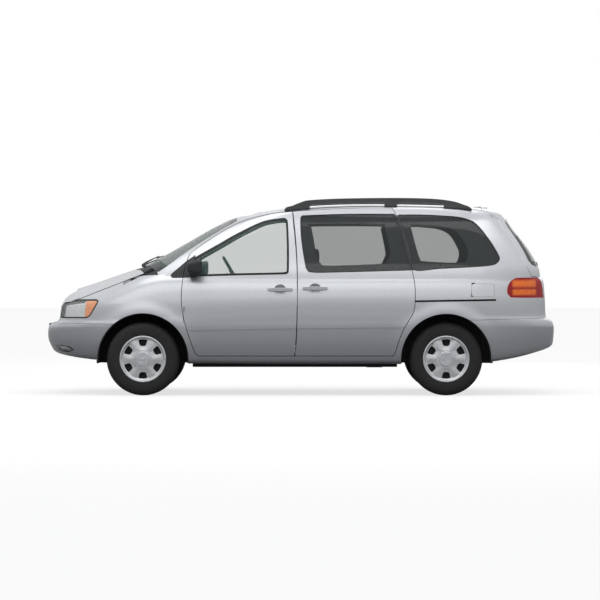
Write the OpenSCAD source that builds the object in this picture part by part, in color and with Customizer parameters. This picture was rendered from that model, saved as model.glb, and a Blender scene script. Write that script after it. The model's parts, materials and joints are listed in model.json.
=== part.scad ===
// Minivan, built as separate named pieces.
// Millimetres, +Z up, the front of the vehicle towards -X, its left side towards -Y.
// The origin is on the ground, under the middle of the vehicle's length and width.

/* [Chassis] */
// Distance between the front and rear wheel centres
wheelbase = 2812; // [2700:2:2900]
// Front wheel centre, ahead of the middle of the vehicle's length
front_axle = 1457; // [1420:1:1480]
// Distance from the centreline to the middle of a tyre
half_track = 772; // [755:1:780]

/* [Wheels] */
// Outer radius of a tyre
tyre_r = 340; // [325:1:345]
// Width of a tyre
tyre_w = 210; // [185:1:225]
// Outer radius of the wheel cover and rim flange
rim_r = 217; // [205:1:225]
// Radius of the spindle that a wheel turns on
spindle_r = 30; // [24:1:36]
// Radius of the wheel arch openings
arch_r = 424; // [415:1:430]

/* [Body] */
// Length over the bumpers
body_len = 4770; // [4700:5:4850]
// Width over the body sides, without the mirrors
body_w = 1862; // [1840:2:1900]
// Thickness of doors and side walls
wall = 62; // [50:1:75]
// Shut-line gap around doors, hood and liftgate
gap = 6; // [5:0.5:9]
// Thickness of window glass
glass_t = 5; // [4:0.5:8]
// Height of the roof rails over the roof edge
rail_h = 88; // [70:1:100]

/* [Hinges] */
// Radius of the hinge pins of the doors, hood and liftgate
pin_r = 5; // [4:0.25:5.5]
// Clearance between a pin and what turns on it
pin_play = 0.1; // [0.05:0.05:0.1]

/* [Hidden] */

half_w = body_w / 2;
half_len = body_len / 2;
rear_axle = wheelbase - front_axle;
x_front = -front_axle;
x_rear = rear_axle;

// ---------------------------------------------------------------- curves
// Slope of a table of [x, y] pairs at entry i
function slope(p, i) =
    let (a = max(i - 1, 0), b = min(i + 1, len(p) - 1)) (p[b][1] - p[a][1]) / (p[b][0] - p[a][0]);
// Entry of the table that x lies after
function span_of(p, x, i = 0) = i >= len(p) - 2 || x <= p[i + 1][0] ? i : span_of(p, x, i + 1);
// Smooth curve through the table, read at x
function smooth(p, x) =
    let (
        i = span_of(p, x),
        h = p[i + 1][0] - p[i][0],
        t = max(0, min(1, (x - p[i][0]) / h)),
        t2 = t * t,
        t3 = t2 * t
    )
    (2 * t3 - 3 * t2 + 1) * p[i][1] + (t3 - 2 * t2 + t) * h * slope(p, i)
    + (3 * t2 - 2 * t3) * p[i + 1][1] + (t3 - t2) * h * slope(p, i + 1);

// ---------------------------------------------------------------- body lines
// Each line runs round the body from the middle of the nose to the middle of the tail:
// [nose x, tail x, half width, roundness of the nose, roundness of the tail, rise at its middle, [x, z] table]
LOWER = [
    [-half_len + 190, half_len - 85, half_w - 135, 3.2, 5.5, 0,
        [[-2200, 345], [-1900, 300], [-1000, 285], [1600, 290], [1950, 330], [2300, 415]]],
    [-half_len + 50, half_len - 12, half_w - 52, 3.6, 6.5, 0,
        [[-2335, 405], [-1900, 352], [-1000, 330], [1600, 335], [2000, 372], [2375, 462]]],
    [-half_len, half_len, half_w - 14, 4.0, 7, 0,
        [[-2385, 520], [-1900, 475], [0, 470], [1600, 480], [2385, 535]]],
    [-half_len + 5, half_len, half_w, 4.2, 7.5, 0,
        [[-2380, 630], [0, 640], [2385, 640]]],
    [-half_len + 38, half_len - 22, half_w, 4.3, 7.5, 0,
        [[-2350, 668], [-1800, 672], [0, 700], [1800, 700], [2360, 692]]],
    [-half_len + 96, half_len - 72, half_w - 1, 4.3, 7.5, 0,
        [[-2290, 690], [-1800, 700], [0, 780], [1700, 745], [2312, 722]]],
    [-half_len + 122, half_len - 84, half_w - 8, 4.2, 7.2, 0,
        [[-2262, 825], [-1900, 860], [0, 930], [1700, 930], [2300, 935]]],
    [-half_len + 165, half_len - 105, half_w - 42, 4.0, 7, 0,
        [[-2215, 900], [-2034, 880], [-1700, 975], [-1378, 1062], [-1000, 1078], [0, 1078], [1700, 1085], [2280, 1085]]],
    [-half_len + 205, half_len - 190, half_w - 145, 3.8, 7, 0,
        [[-2175, 936], [-2034, 935], [-1850, 988], [-1700, 1042], [-1378, 1150], [-1150, 1176], [0, 1125], [2195, 1110]]],
    [-half_len + 262, half_len - 300, half_w - 370, 3.6, 7, 0,
        [[-2120, 968], [-1975, 1012], [-1808, 1070], [-1697, 1105], [-1475, 1178], [-1250, 1205], [0, 1130], [2085, 1110]]]
];
LOWER_CROWN = 22;

UPPER = [
    [-1720, half_len - 122, half_w - 38, 6.0, 7, 0, [[-1720, 1060], [2265, 1060]]],
    [-1505, half_len - 136, half_w - 54, 6.0, 7, 0, [[-1505, 1180], [2250, 1180]]],
    [-1250, half_len - 203, half_w - 92, 6.0, 7, 0, [[-1250, 1320], [2180, 1320]]],
    [-1020, half_len - 294, half_w - 134, 6.0, 7, 0, [[-1020, 1450], [2090, 1450]]],
    [-836, half_len - 382, half_w - 178, 6.0, 7, 0, [[-836, 1556], [2000, 1560]]],
    [-705, half_len - 436, half_w - 213, 5.6, 7, 30, [[-705, 1604], [-300, 1640], [1945, 1628]]],
    [-610, half_len - 482, half_w - 246, 5.2, 7, 48,
        [[-610, 1634], [-300, 1686], [-90, 1718], [370, 1749], [930, 1752], [1500, 1735], [1710, 1708], [1903, 1672]]],
    [-520, half_len - 545, half_w - 330, 4.6, 6, 26,
        [[-520, 1686], [-300, 1720], [-90, 1748], [370, 1776], [930, 1778], [1500, 1760], [1710, 1737], [1840, 1716]]]
];
UPPER_CROWN = 10;

LOWER_MID = 0;
UPPER_MID = 400;
NOSE_STEPS = 5;
SIDE_STEPS = 10;

// Point of a body line at p: 0 nose middle, 1 nose corner, 2 side, 3 tail corner, 4 tail middle
function line_point(line, mid, p) =
    let (
        front = p <= 2,
        a = front ? p : 4 - p,
        n = front ? line[3] : line[4],
        reach = front ? mid - line[0] : line[1] - mid,
        q = pow(0.5, 1 / n),
        u = a <= 1 ? pow(1 - pow(q * a, n), 1 / n) : q * (2 - a),
        v = a <= 1 ? q * a : pow(1 - pow(q * (2 - a), n), 1 / n),
        x = mid + (front ? -1 : 1) * reach * u
    )
    [x, line[2] * v, smooth(line[6], x) + line[5] * (1 - v * v)];

STEPS = [
    for (i = [0 : NOSE_STEPS - 1]) i / NOSE_STEPS,
    for (i = [0 : SIDE_STEPS - 1]) 1 + i / SIDE_STEPS,
    for (i = [0 : SIDE_STEPS - 1]) 2 + i / SIDE_STEPS,
    for (i = [0 : NOSE_STEPS]) 3 + i / NOSE_STEPS
];

// Closed ring of a line: down the right side from nose to tail, and back up the left
function ring(line, mid, drop) =
    let (right = [for (p = STEPS) line_point(line, mid, p)], n = len(right))
    [
        for (i = [0 : n - 1]) right[i] - [0, 0, drop],
        for (i = [n - 2 : -1 : 1]) [right[i][0], -right[i][1], right[i][2] - drop]
    ];

// Moves a line inwards by t on all sides
function inset(line, t) =
    [line[0] + t, line[1] - t, line[2] - t, line[3], line[4], line[5], line[6]];

// Closed solid through body lines, with a raised middle of the given crown
module body_loft(lines, mid, crown, drops) {
    rings = [for (k = [0 : len(lines) - 1]) ring(lines[k], mid, drops[k])];
    n = len(rings[0]);
    m = len(rings);
    half = n / 2;
    top = rings[m - 1];
    bottom = rings[0];
    centre = [for (i = [1 : half - 1]) [(top[i][0] + top[n - i][0]) / 2, 0, top[i][2] + crown]];
    base = m * n;
    points = [for (r = rings) for (p = r) p, for (p = centre) p];
    sides = [
        for (k = [0 : m - 2]) for (i = [0 : n - 1])
            let (j = (i + 1) % n, a = k * n + i, b = k * n + j, c = a + n, d = b + n)
            each [[a, b, c], [b, d, c]]
    ];
    // Index of the centre point beside ring point i; the ring's own ends stand for the first and last
    function mid_of(i) = i == 0 ? (m - 1) * n : i == half ? (m - 1) * n + half : base + i - 1;
    t0 = (m - 1) * n;
    lid = [
        for (i = [0 : half - 1])
            let (a = t0 + i, b = t0 + i + 1, c = mid_of(i), d = mid_of(i + 1))
            let (e = t0 + (n - i) % n, f = t0 + (n - i - 1) % n)
            each concat(
                a == c ? [] : [[a, b, c]],
                b == d ? [] : [[b, d, c]],
                e == c ? [] : [[e, c, f]],
                f == d ? [] : [[f, c, d]]
            )
    ];
    floor_faces = [
        for (i = [0 : half - 1])
            let (a = i, b = i + 1, e = (n - i) % n, f = n - i - 1)
            each concat(a == e ? [] : [[a, e, b]], b == f ? [] : [[b, e, f]])
    ];
    polyhedron(points, concat(sides, lid, floor_faces), convexity = 6);
}

module lower_solid(t = 0, top = 0, bottom = 0)
    body_loft(
        [for (l = LOWER) inset(l, t)], LOWER_MID, LOWER_CROWN,
        [for (k = [0 : len(LOWER) - 1]) k < 2 ? -bottom : k > 6 ? top : 0]
    );

module upper_solid(t = 0, top = 0)
    body_loft(
        [for (l = UPPER) inset(l, t)], UPPER_MID, UPPER_CROWN,
        [for (k = [0 : len(UPPER) - 1]) k > 4 ? top : 0]
    );

// The whole body as one hollow skin, cut into panels below
module outer_solid() {
    lower_solid();
    upper_solid();
}

module inner_solid(extra = 0) {
    lower_solid(wall + extra, 42 + extra, -60);
    upper_solid(wall + extra, 40 + extra);
}

// Skin between two depths under the outer surface
module skin(t0, t1)
    difference() {
        union() { lower_solid(t0, t0, t0); upper_solid(t0, t0); }
        union() { lower_solid(t1, t1, t1); upper_solid(t1, t1); }
    }

module body_shell()
    difference() { outer_solid(); inner_solid(); }

// ---------------------------------------------------------------- outlines, seen from the left side as [x, z]
// Smooth closed or open curve through hand-set points
function blend_point(a, b, c, d, t) =
    0.5 * (2 * b + (c - a) * t + (2 * a - 5 * b + 4 * c - d) * t * t + (3 * b - a - 3 * c + d) * t * t * t);
function flow(p, steps = 4) = [
    for (i = [0 : len(p) - 2]) for (s = [0 : steps - 1])
        blend_point(p[max(i - 1, 0)], p[i], p[i + 1], p[min(i + 2, len(p) - 1)], s / steps),
    p[len(p) - 1]
];

sill_z = 368;
// Rear edge of the front door, upwards; the sliding door starts a gap behind it
B_LINE = [[-52, sill_z], [-40, 480], [-31, 640], [-27, 820], [-26, 1000], [-28, 1150], [-36, 1300], [-48, 1450], [-60, 1590], [-70, 1711]];
// Front edge of the front door, downwards from the windscreen
A_LINE = [[-1022, 1318], [-1052, 1245], [-1080, 1130], [-1094, 1010], [-1099, 900], [-1090, 790], [-1057, 642], [-1013, 505], [-975, 405], [-945, sill_z]];
// Top edge of the doors, along the windscreen and the roof edge
DOOR_TOP = [[-1022, 1318], [-950, 1374], [-870, 1430], [-789, 1484], [-690, 1545], [-591, 1598], [-450, 1648], [-300, 1684], [-180, 1702], [-70, 1711]];
SLIDE_TOP = [[-70, 1711], [150, 1727], [370, 1738], [620, 1744], [862, 1743]];
// Rear edge of the sliding door, downwards
C_LINE = [[862, 1743], [898, 1670], [935, 1560], [972, 1450], [1008, 1310], [1040, 1160], [1062, 1040], [1067, 915], [1053, 780], [1000, 685], [948, 592], [910, 490], [882, 400], [862, sill_z]];
// Side edge of the windscreen, from its base to the roof
WINDSCREEN_EDGE = [[-1310, 1150], [-1198, 1228], [-1080, 1318], [-950, 1408], [-789, 1507], [-680, 1572], [-588, 1624]];
// Edge between the body side and the roof panel
GUTTER = [[-588, 1624], [-450, 1668], [-300, 1702], [-68, 1728], [370, 1757], [930, 1759], [1500, 1740], [1700, 1712], [1826, 1680]];
// Edge between fender and hood
HOOD_EDGE = [[-2420, 866], [-2202, 872], [-2110, 888], [-2034, 910], [-1900, 962], [-1700, 1039], [-1540, 1103], [-1378, 1160], [-1250, 1196]];

function reversed(p) = [for (i = [len(p) - 1 : -1 : 0]) p[i]];

FRONT_DOOR = concat(flow(A_LINE, 3), flow(B_LINE, 2), reversed(flow(DOOR_TOP, 3)));
SLIDING_DOOR = concat(reversed(flow(C_LINE, 3)), reversed(flow(SLIDE_TOP, 3)), reversed(flow(B_LINE, 2)));

FRONT_WINDOW = flow([[-985, 1103], [-560, 1115], [-160, 1124], [-118, 1134], [-103, 1170], [-103, 1400], [-112, 1600], [-124, 1638], [-160, 1651], [-300, 1632], [-405, 1596], [-603, 1497], [-764, 1404], [-950, 1299], [-985, 1277]], 3);
SLIDING_WINDOW = concat(
    flow([[880, 1690], [450, 1690], [60, 1677], [16, 1668], [2, 1640], [6, 1500], [22, 1360], [44, 1230], [62, 1170], [120, 1140], [400, 1143], [1020, 1160]], 3),
    flow([[1029, 1162], [998, 1310], [960, 1450], [923, 1560], [886, 1672]], 2)
);
QUARTER_WINDOW = flow([[916, 1683], [1100, 1684], [1301, 1676], [1460, 1664], [1560, 1642], [1650, 1592], [1771, 1437], [1845, 1310], [1856, 1268], [1838, 1235], [1780, 1207], [1600, 1190], [1301, 1175], [1056, 1163], [1026, 1310], [990, 1450], [953, 1560]], 2);

HEADLAMP = [[-2450, 716], [-1997, 716], [-1948, 741], [-1873, 871], [-1898, 894], [-2060, 892], [-2134, 880], [-2215, 860], [-2450, 858]];
TAIL_LAMP = flow([[2450, 908], [2000, 908], [1945, 922], [1920, 962], [1935, 1035], [1985, 1082], [2060, 1094], [2450, 1096]], 3);
FRONT_BUMPER = [[-2450, 200], [-2450, 668], [-2150, 668], [-1900, 664], [-1600, 660], [-1600, 200]];
REAR_BUMPER = [[1560, 200], [1560, 700], [1640, 700], [1900, 708], [2260, 716], [2450, 716], [2450, 200]];
// Outline of the liftgate, seen from behind as [y, z], one half from the roof down
GATE_HALF = [[604, 1830], [604, 1640], [640, 1560], [700, 1400], [742, 1260], [752, 1180], [735, 1110], [668, 1102], [655, 1080], [652, 900], [646, 760], [600, 728]];
GATE_GLASS_HALF = [[520, 1640], [560, 1610], [610, 1500], [660, 1380], [700, 1255], [690, 1215], [650, 1198]];

// Straight cut through one outline, across the left half or the full width
module side_cut(points, y0 = -1300, y1 = 0)
    translate([0, y1, 0]) rotate([90, 0, 0]) linear_extrude(y1 - y0) polygon(points);
module side_cut_shrunk(points, by, y0 = -1300, y1 = 0)
    translate([0, y1, 0]) rotate([90, 0, 0]) linear_extrude(y1 - y0) offset(delta = -by) polygon(points);
module rear_cut(half_points, by = 0)
    translate([1500, 0, 0]) rotate([90, 0, 90]) linear_extrude(1200) offset(delta = by)
        polygon(concat(half_points, [for (p = reversed(half_points)) [-p[0], p[1]]]));

module left_and_right() {
    children();
    mirror([0, 1, 0]) children();
}

// ---------------------------------------------------------------- zones that the panels are cut by
HOOD_REAR = flow([[-1556, 0], [-1546, -300], [-1512, -540], [-1462, -700], [-1392, -830]], 2);
cowl_w = 84;

// Everything ahead of the hood's rear edge moved by `by` along X, seen from above
module ahead_of_cowl(by = 0)
    left_and_right()
        translate([by, 0, 600]) linear_extrude(1400)
            polygon(concat([[-3000, 0.01], [-3000, -1100], [-1392, -1100]], reversed(HOOD_REAR), [[-1556, 0.01]]));

module hood_zone(by = 0)
    intersection() {
        translate([0, 0, by]) side_cut(concat(flow(HOOD_EDGE, 2), [[-1100, 1500], [-2600, 1500], [-2600, 866]]), -1300, 1300);
        ahead_of_cowl(-by);
    }

// Everything ahead of and above the windscreen's side edge
module windscreen_zone()
    difference() {
        side_cut(concat(WINDSCREEN_EDGE, [[-628, 1840], [-1800, 1840], [-1800, 1060]]), -1300, 1300);
        ahead_of_cowl(cowl_w);
    }

module cowl_zone()
    difference() {
        intersection() {
            side_cut([[-1700, 1100], [-1310, 1120], [-1080, 1318], [-1080, 1420], [-1700, 1420]], -1300, 1300);
            ahead_of_cowl(cowl_w);
        }
        hood_zone(-gap);
    }

module roof_zone()
    side_cut(concat(GUTTER, [[1826, 1900], [-628, 1900]]), -1300, 1300);

gate_top_x = 1702;
// Liftgate: behind its top edge and inside its outline as seen from behind
module gate_zone(by = 0)
    intersection() {
        rear_cut(GATE_HALF, by);
        side_cut_shrunk([[gate_top_x, 1900], [gate_top_x, 1640], [1790, 1560], [2100, 700], [2600, 700], [2600, 1900]], -by, -1300, 1300);
    }

module lamp_zone(points, inner)
    left_and_right() side_cut(points, -1300, -inner);

module floor_zone()
    translate([-1900, -700, 200]) cube([3700, 1400, 190]);

module door_zones(by)
    left_and_right() {
        side_cut_shrunk(FRONT_DOOR, -by, -1300, by - door_in);
        side_cut_shrunk(SLIDING_DOOR, -by, -1300, by - door_in);
    }

// The doors reach no further in than this at the roof edge
door_in = 634;
headlamp_in = 455;
module head_zone() lamp_zone(HEADLAMP, headlamp_in);
module tail_zone()
    intersection() {
        lamp_zone(TAIL_LAMP, 640);
        translate([1800, -1300, 800]) cube([900, 2600, 400]);
    }

FENDER = concat(
    [[-2600, 668], [-2600, 900]], flow(HOOD_EDGE, 2), [[-1250, 1500], [-1100, 1500]],
    [[-1085, 1112], [-1094, 1010], [-1099, 900], [-1090, 790], [-1057, 642], [-1013, 505], [-985, 420]],
    [[-985, 200], [-1600, 200], [-1600, 660], [-1900, 664], [-2150, 668]]
);
// Corner between fender and windscreen post
POST_FOOT = [[-1330, 1156], [-1060, 1106], [-1060, 1700], [-1330, 1700]];

// Everything that the front door's rear edge passes through as it swings
module door_swing(by = 0)
    translate([door_axis[0], door_axis[1], 0]) rotate([0, 0, -60]) rotate_extrude(angle = 120, $fn = 360)
        polygon([[300, 200], [1023 + by, 200], [1023 + by, 368], [1036 + by, 480], [1044 + by, 640], [1049 + by, 1000], [1048 + by, 1150],
            [1044 + by, 1300], [1038 + by, 1450], [1033 + by, 1590], [1028 + by, 1711], [1028 + by, 1800], [300, 1800]]);

module arches(front_in = 492, rear_in = 640)
    left_and_right() {
        translate([x_front, -front_in, hub_z]) rotate([90, 0, 0]) cylinder(h = 1000, r = arch_r, $fn = 72);
        translate([x_rear, -rear_in, hub_z]) rotate([90, 0, 0]) cylinder(h = 1000, r = arch_r - 4, $fn = 72);
    }
hub_z = tyre_r;

module left_half() translate([-3000, -1500, -100]) cube([6000, 1500, 2200]);

// ---------------------------------------------------------------- painted panels
module hood()
    color("silver") resize([0, 0, 0])
        difference() {
            intersection() { skin(0, hood_t); hood_zone(); }
            left_and_right() translate([hood_axis[0], -hood_hinge_y + 12.3, hood_axis[1]])
                rotate([90, 0, 0]) linear_extrude(24.6) offset(delta = 0.3) polygon(HOOD_ARM);
        }
hood_t = 40;

module cowl()
    color("dimgray") resize([0, 0, 0])
        difference() {
            intersection() { body_shell(); cowl_zone(); }
            hood_hinge_room();
        }

module front_fender_left()
    color("silver") resize([0, 0, 0])
        difference() {
            intersection() { body_shell(); side_cut(FENDER, -1300, -480); }
            side_cut(POST_FOOT);
            hood_zone(-gap);
            head_zone();
            cowl_zone();
            windscreen_zone();
            arches();
            door_zones(gap / 2);
            floor_zone();
            hinge_room();
            hood_hinge_room();
        }

module body_side_left(fuel_side = true)
    color("silver") resize([0, 0, 0])
        difference() {
            union() {
                intersection() { body_shell(); left_half(); }
                centre_post();
            }
            difference() { side_cut(FENDER, -1300, 0); side_cut(POST_FOOT); }
            translate([-3000, -1300, 0]) cube([1915, 1300, 1100]);
            side_cut(FRONT_BUMPER);
            side_cut(REAR_BUMPER);
            windscreen_zone();
            roof_zone();
            cowl_zone();
            hood_zone(-gap);
            gate_zone(gap);
            door_zones(gap / 2);
            tail_zone();
            arches();
            floor_zone();
            side_cut(QUARTER_WINDOW);
            hinge_room();
            if (fuel_side) fuel_opening();
        }

// Post behind the joint of the front and sliding doors
module centre_post()
    intersection() {
        difference() {
            union() { lower_solid(wall - 8, 42, 20); upper_solid(wall - 8, 40); }
            union() { lower_solid(wall + 46, 84, -120); upper_solid(wall + 46, 84); }
        }
        difference() {
            side_cut([[-110, 300], [-90, 900], [-95, 1300], [-140, 1745], [10, 1745], [40, 1300], [48, 900], [10, 300]]);
            difference() {
                union() { lower_solid(0, 0, 0); upper_solid(0, 0); }
                union() { lower_solid(wall + gap, 42 + gap, 20); upper_solid(wall + gap, 40 + gap); }
                translate([-200, -1300, 200]) cube([400, 1300, sill_z - 200 - gap / 2]);
            }
        }
    }

module roof_panel()
    color("silver") resize([0, 0, 0])
        difference() {
            intersection() { body_shell(); roof_zone(); }
            windscreen_zone();
            gate_zone(gap);
            gate_hinge_room(true);
        }

module front_bumper()
    color("silver") resize([0, 0, 0])
        difference() {
            intersection() { body_shell(); side_cut(FRONT_BUMPER, -1300, 1300); }
            plate_room();
            arches();
            floor_zone();
        }

module rear_bumper()
    color("silver") resize([0, 0, 0])
        difference() {
            intersection() { body_shell(); side_cut(REAR_BUMPER, -1300, 1300); }
            arches();
            floor_zone();
            gate_zone(gap);
        }

module grille()
    color("dimgray") resize([0, 0, 0])
        difference() {
            intersection() { body_shell(); side_cut([[-2600, 668], [-2600, 940], [-1990, 940], [-1990, 666], [-2150, 668]], -1300, 1300); }
            hood_zone(-gap);
            head_zone();
            left_and_right() side_cut([[-2700, 600], [-2700, 1000], [-1500, 1000], [-1500, 600]], -1300, -headlamp_in);
        }

module headlamps()
    color("lightgray") resize([0, 0, 0])
        difference() {
            intersection() { body_shell(); head_zone(); }
            hood_zone(-gap);
            arches();
        }

module tail_lamps()
    color("firebrick") resize([0, 0, 0])
        difference() {
            intersection() { body_shell(); tail_zone(); }
            gate_zone(gap);
        }

module front_door_left()
    color("silver") resize([0, 0, 0])
        difference() {
            intersection() { body_shell(); side_cut_shrunk(FRONT_DOOR, gap / 2, -1300, -door_in - gap / 2); }
            difference() { side_cut([[-300, 200], [-300, 1800], [100, 1800], [100, 200]]); door_swing(); }
            side_cut(FRONT_WINDOW);
            door_hinge_pocket();
            arches();
        }

module sliding_door_left()
    color("silver") resize([0, 0, 0])
        difference() {
            intersection() { body_shell(); side_cut_shrunk(SLIDING_DOOR, gap / 2, -1300, -door_in - gap / 2); }
            side_cut(SLIDING_WINDOW);
            door_swing(gap - 0.5);
            arches();
        }

module liftgate()
    color("silver") resize([0, 0, 0])
        difference() {
            intersection() { body_shell(); gate_zone(); }
            // The inner edges are drawn in, so that they clear the posts as the gate swings up
            for (a = [1, 3, 5, 8, 11, 15, 19, 24, 30, 38]) translate([gate_axis[0], 0, gate_axis[1]]) rotate([0, a, 0]) translate([-gate_axis[0], 0, -gate_axis[1]])
                difference() {
                    translate([1500, -1000, 700]) cube([1100, 2000, 1200]);
                    rear_cut(GATE_HALF, 1);
                    difference() { translate([1400, -1100, 600]) cube([1300, 2200, 1300]); outer_solid(); }
                    translate([1500, -590, 600]) cube([1100, 1180, 1300]);
                }
            rear_cut(GATE_GLASS_HALF);
            translate([1500, -1000, 0]) cube([1000, 2000, 722]);
            plate_room();
            gate_hinge_room(false);
        }

// ---------------------------------------------------------------- glass
module windshield()
    color("lightblue") resize([0, 0, 0])
        intersection() { skin(3, 3 + glass_t); windscreen_zone(); }

module side_pane(outline, c = "lightblue")
    color(c) resize([0, 0, 0])
        intersection() { skin(3, 3 + glass_t); side_cut_shrunk(outline, 0.3, -1300, -500); }

module liftgate_glass()
    color("dimgray") resize([0, 0, 0])
        intersection() {
            skin(3, 3 + glass_t);
            rear_cut(GATE_GLASS_HALF, -0.3);
            translate([1700, -1000, 1000]) cube([900, 2000, 900]);
        }

// ---------------------------------------------------------------- hinges
door_axis = [-1074, -913];
DOOR_HINGE_Z = [686, 800];
hood_axis = [-1376, 1160];
hood_hinge_y = 735;
gate_axis = [1699, 1757];
gate_hinge_y = 300;

// Room for the door's front edge to swing in, and seats for the hinges' fixed halves
module hinge_room() {
    translate([door_axis[0], door_axis[1], 664]) cylinder(h = 110, r = 13, $fn = 40);
    for (z = DOOR_HINGE_Z) {
        translate([door_axis[0] - 112, door_axis[1] + 42.7, z - 24.3]) cube([124.3, 34, 48.6]);
        translate([door_axis[0] - 14, door_axis[1] - 30, z - 23]) cube([28, 90, 46]);
    }
}

// Pocket in the front door around each hinge
module door_hinge_pocket()
    for (z = DOOR_HINGE_Z) {
        translate([door_axis[0] - 60, door_axis[1] - 40, z - 27]) cube([74, 130, 54]);
        translate([door_axis[0], door_axis[1] - 3.3, z - 8.8]) cube([70.3, 12.6, 17.6]);
    }

module door_hinges_fixed()
    color("dimgray")
        for (z = DOOR_HINGE_Z) translate([door_axis[0], door_axis[1], z]) {
            for (end = [-18, 10]) translate([0, 0, end]) {
                cylinder(h = 8, r = 8.5);
                translate([-8.5, 0, 0]) cube([17, 50, 8]);
            }
            translate([-108, 43, -24]) cube([120, 14, 48]);
            translate([0, 0, -19]) cylinder(h = 38, r = pin_r);
        }

module door_hinges_moving()
    color("dimgray")
        for (z = DOOR_HINGE_Z) translate([door_axis[0], door_axis[1], z])
            difference() {
                union() {
                    translate([0, 0, -8.5]) cylinder(h = 17, r = 8.5);
                    translate([0, -3, -8.5]) cube([70, 12, 17]);
                }
                translate([0, 0, -13]) cylinder(h = 26, r = pin_r + pin_play);
            }

// Openings in the cowl for the hood's arms
HOOD_ARM = [[4, -12], [-60, -76], [-200, -128], [-200, -70], [-90, -70], [-60, -54], [-6, 10]];
module hood_hinge_room()
    left_and_right() {
        translate([hood_axis[0] - 270, -hood_hinge_y - 32, hood_axis[1] - 210]) cube([304, 64, 290]);
    }

module hood_hinges_fixed()
    color("dimgray") left_and_right() translate([hood_axis[0], -hood_hinge_y, hood_axis[1]]) {
        for (y = [-22, 14]) translate([0, y, 0]) {
            rotate([-90, 0, 0]) cylinder(h = 8, r = 11);
            translate([-10, 0, -190]) cube([20, 8, 190]);
        }
        translate([-10, -22, -200]) cube([20, 44, 16]);
        translate([0, -24, 0]) rotate([-90, 0, 0]) cylinder(h = 48, r = pin_r);
    }

module hood_hinges_moving()
    color("dimgray") left_and_right() translate([hood_axis[0], -hood_hinge_y, hood_axis[1]])
        difference() {
            union() {
                rotate([90, 0, 0]) translate([0, 0, -12]) cylinder(h = 24, r = 12);
                translate([0, 12, 0]) rotate([90, 0, 0]) linear_extrude(24)
                    polygon(HOOD_ARM);
            }
            rotate([90, 0, 0]) translate([0, 0, -13]) cylinder(h = 26, r = pin_r + pin_play);
        }

module gate_hinge_room(roof)
    left_and_right() translate([gate_axis[0], -gate_hinge_y, gate_axis[1]])
        if (roof) translate([-60.3, -30.3, -16.3]) cube([90, 60.6, 60]);
        else {
            translate([-30, -36, -30]) cube([50, 72, 80]);
            translate([0, -12.3, -11.3]) cube([72.3, 24.6, 60]);
        }

module gate_hinges_fixed()
    color("dimgray") left_and_right() translate([gate_axis[0], -gate_hinge_y, gate_axis[1]]) {
        for (y = [-24, 14]) translate([0, y, 0]) {
            rotate([-90, 0, 0]) cylinder(h = 10, r = 11);
            translate([-60, 0, -11]) cube([60, 10, 16]);
        }
        translate([-60, -24, -16]) cube([42, 48, 16]);
        translate([0, -26, 0]) rotate([-90, 0, 0]) cylinder(h = 52, r = pin_r);
    }

module gate_hinges_moving()
    color("dimgray") left_and_right() translate([gate_axis[0], -gate_hinge_y, gate_axis[1]])
        difference() {
            union() {
                rotate([90, 0, 0]) translate([0, 0, -12]) cylinder(h = 24, r = 11);
                translate([0, -12, -11]) cube([72, 24, 11]);
            }
            rotate([90, 0, 0]) translate([0, 0, -13]) cylinder(h = 26, r = pin_r + pin_play);
        }

// ---------------------------------------------------------------- wheels and what carries them
king_y = half_track - 44;
hub_face = 96;
module wheel_place(x) translate([x, -half_track, hub_z]) rotate([90, 0, 0]) children();

// One tyre about its own axis, its outer side towards +Z
module tyre(x)
    color("black") wheel_place(x)
        rotate_extrude($fn = 96) polygon([
            [191, -tyre_w / 2 + 26], [197, -tyre_w / 2 + 8], [222, -tyre_w / 2], [272, -tyre_w / 2 - 0],
            [310, -tyre_w / 2 + 8], [330, -tyre_w / 2 + 20], [tyre_r - 2, -tyre_w / 2 + 38], [tyre_r, -40], [tyre_r, 40],
            [tyre_r - 2, tyre_w / 2 - 38], [330, tyre_w / 2 - 20], [310, tyre_w / 2 - 8], [272, tyre_w / 2],
            [222, tyre_w / 2], [197, tyre_w / 2 - 8], [191, tyre_w / 2 - 26]
        ]);

module rim(x)
    color("silver") wheel_place(x)
        difference() {
            union() {
                rotate_extrude($fn = 64) polygon([
                    [174, -tyre_w / 2 + 4], [190.7, -tyre_w / 2 + 4], [190.7, 60], [174, 60]
                ]);
                // Wheel cover with a domed centre
                rotate_extrude($fn = 64) polygon([
                    [0, 40], [190.7, 40], [190.7, 84], [196, 98], [rim_r, 107], [rim_r, 111], [190, 112],
                    [120, 110], [85, 103], [70, 101], [66, 107], [0, 107]
                ]);
            }
            for (a = [0 : 60 : 300]) rotate([0, 0, a + 90])
                linear_extrude(200) offset(r = 8, $fn = 16) offset(delta = -8)
                    polygon([[96, -22], [178, -50], [183, 0], [178, 50], [96, 22]]);
            translate([0, 0, -120]) cylinder(h = hub_face + 120, r = spindle_r + 0.1, $fn = 64);
        }

module knuckle()
    color("dimgray") {
        translate([x_front, -king_y, hub_z]) {
            translate([-30, -22, -112]) cube([60, 44, 224]);
            translate([0, 0, -142]) cylinder(h = 284, r = 14, $fn = 48);
            rotate([90, 0, 0]) cylinder(h = half_track - king_y + hub_face - 1, r = spindle_r, $fn = 64);
        }
    }

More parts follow.
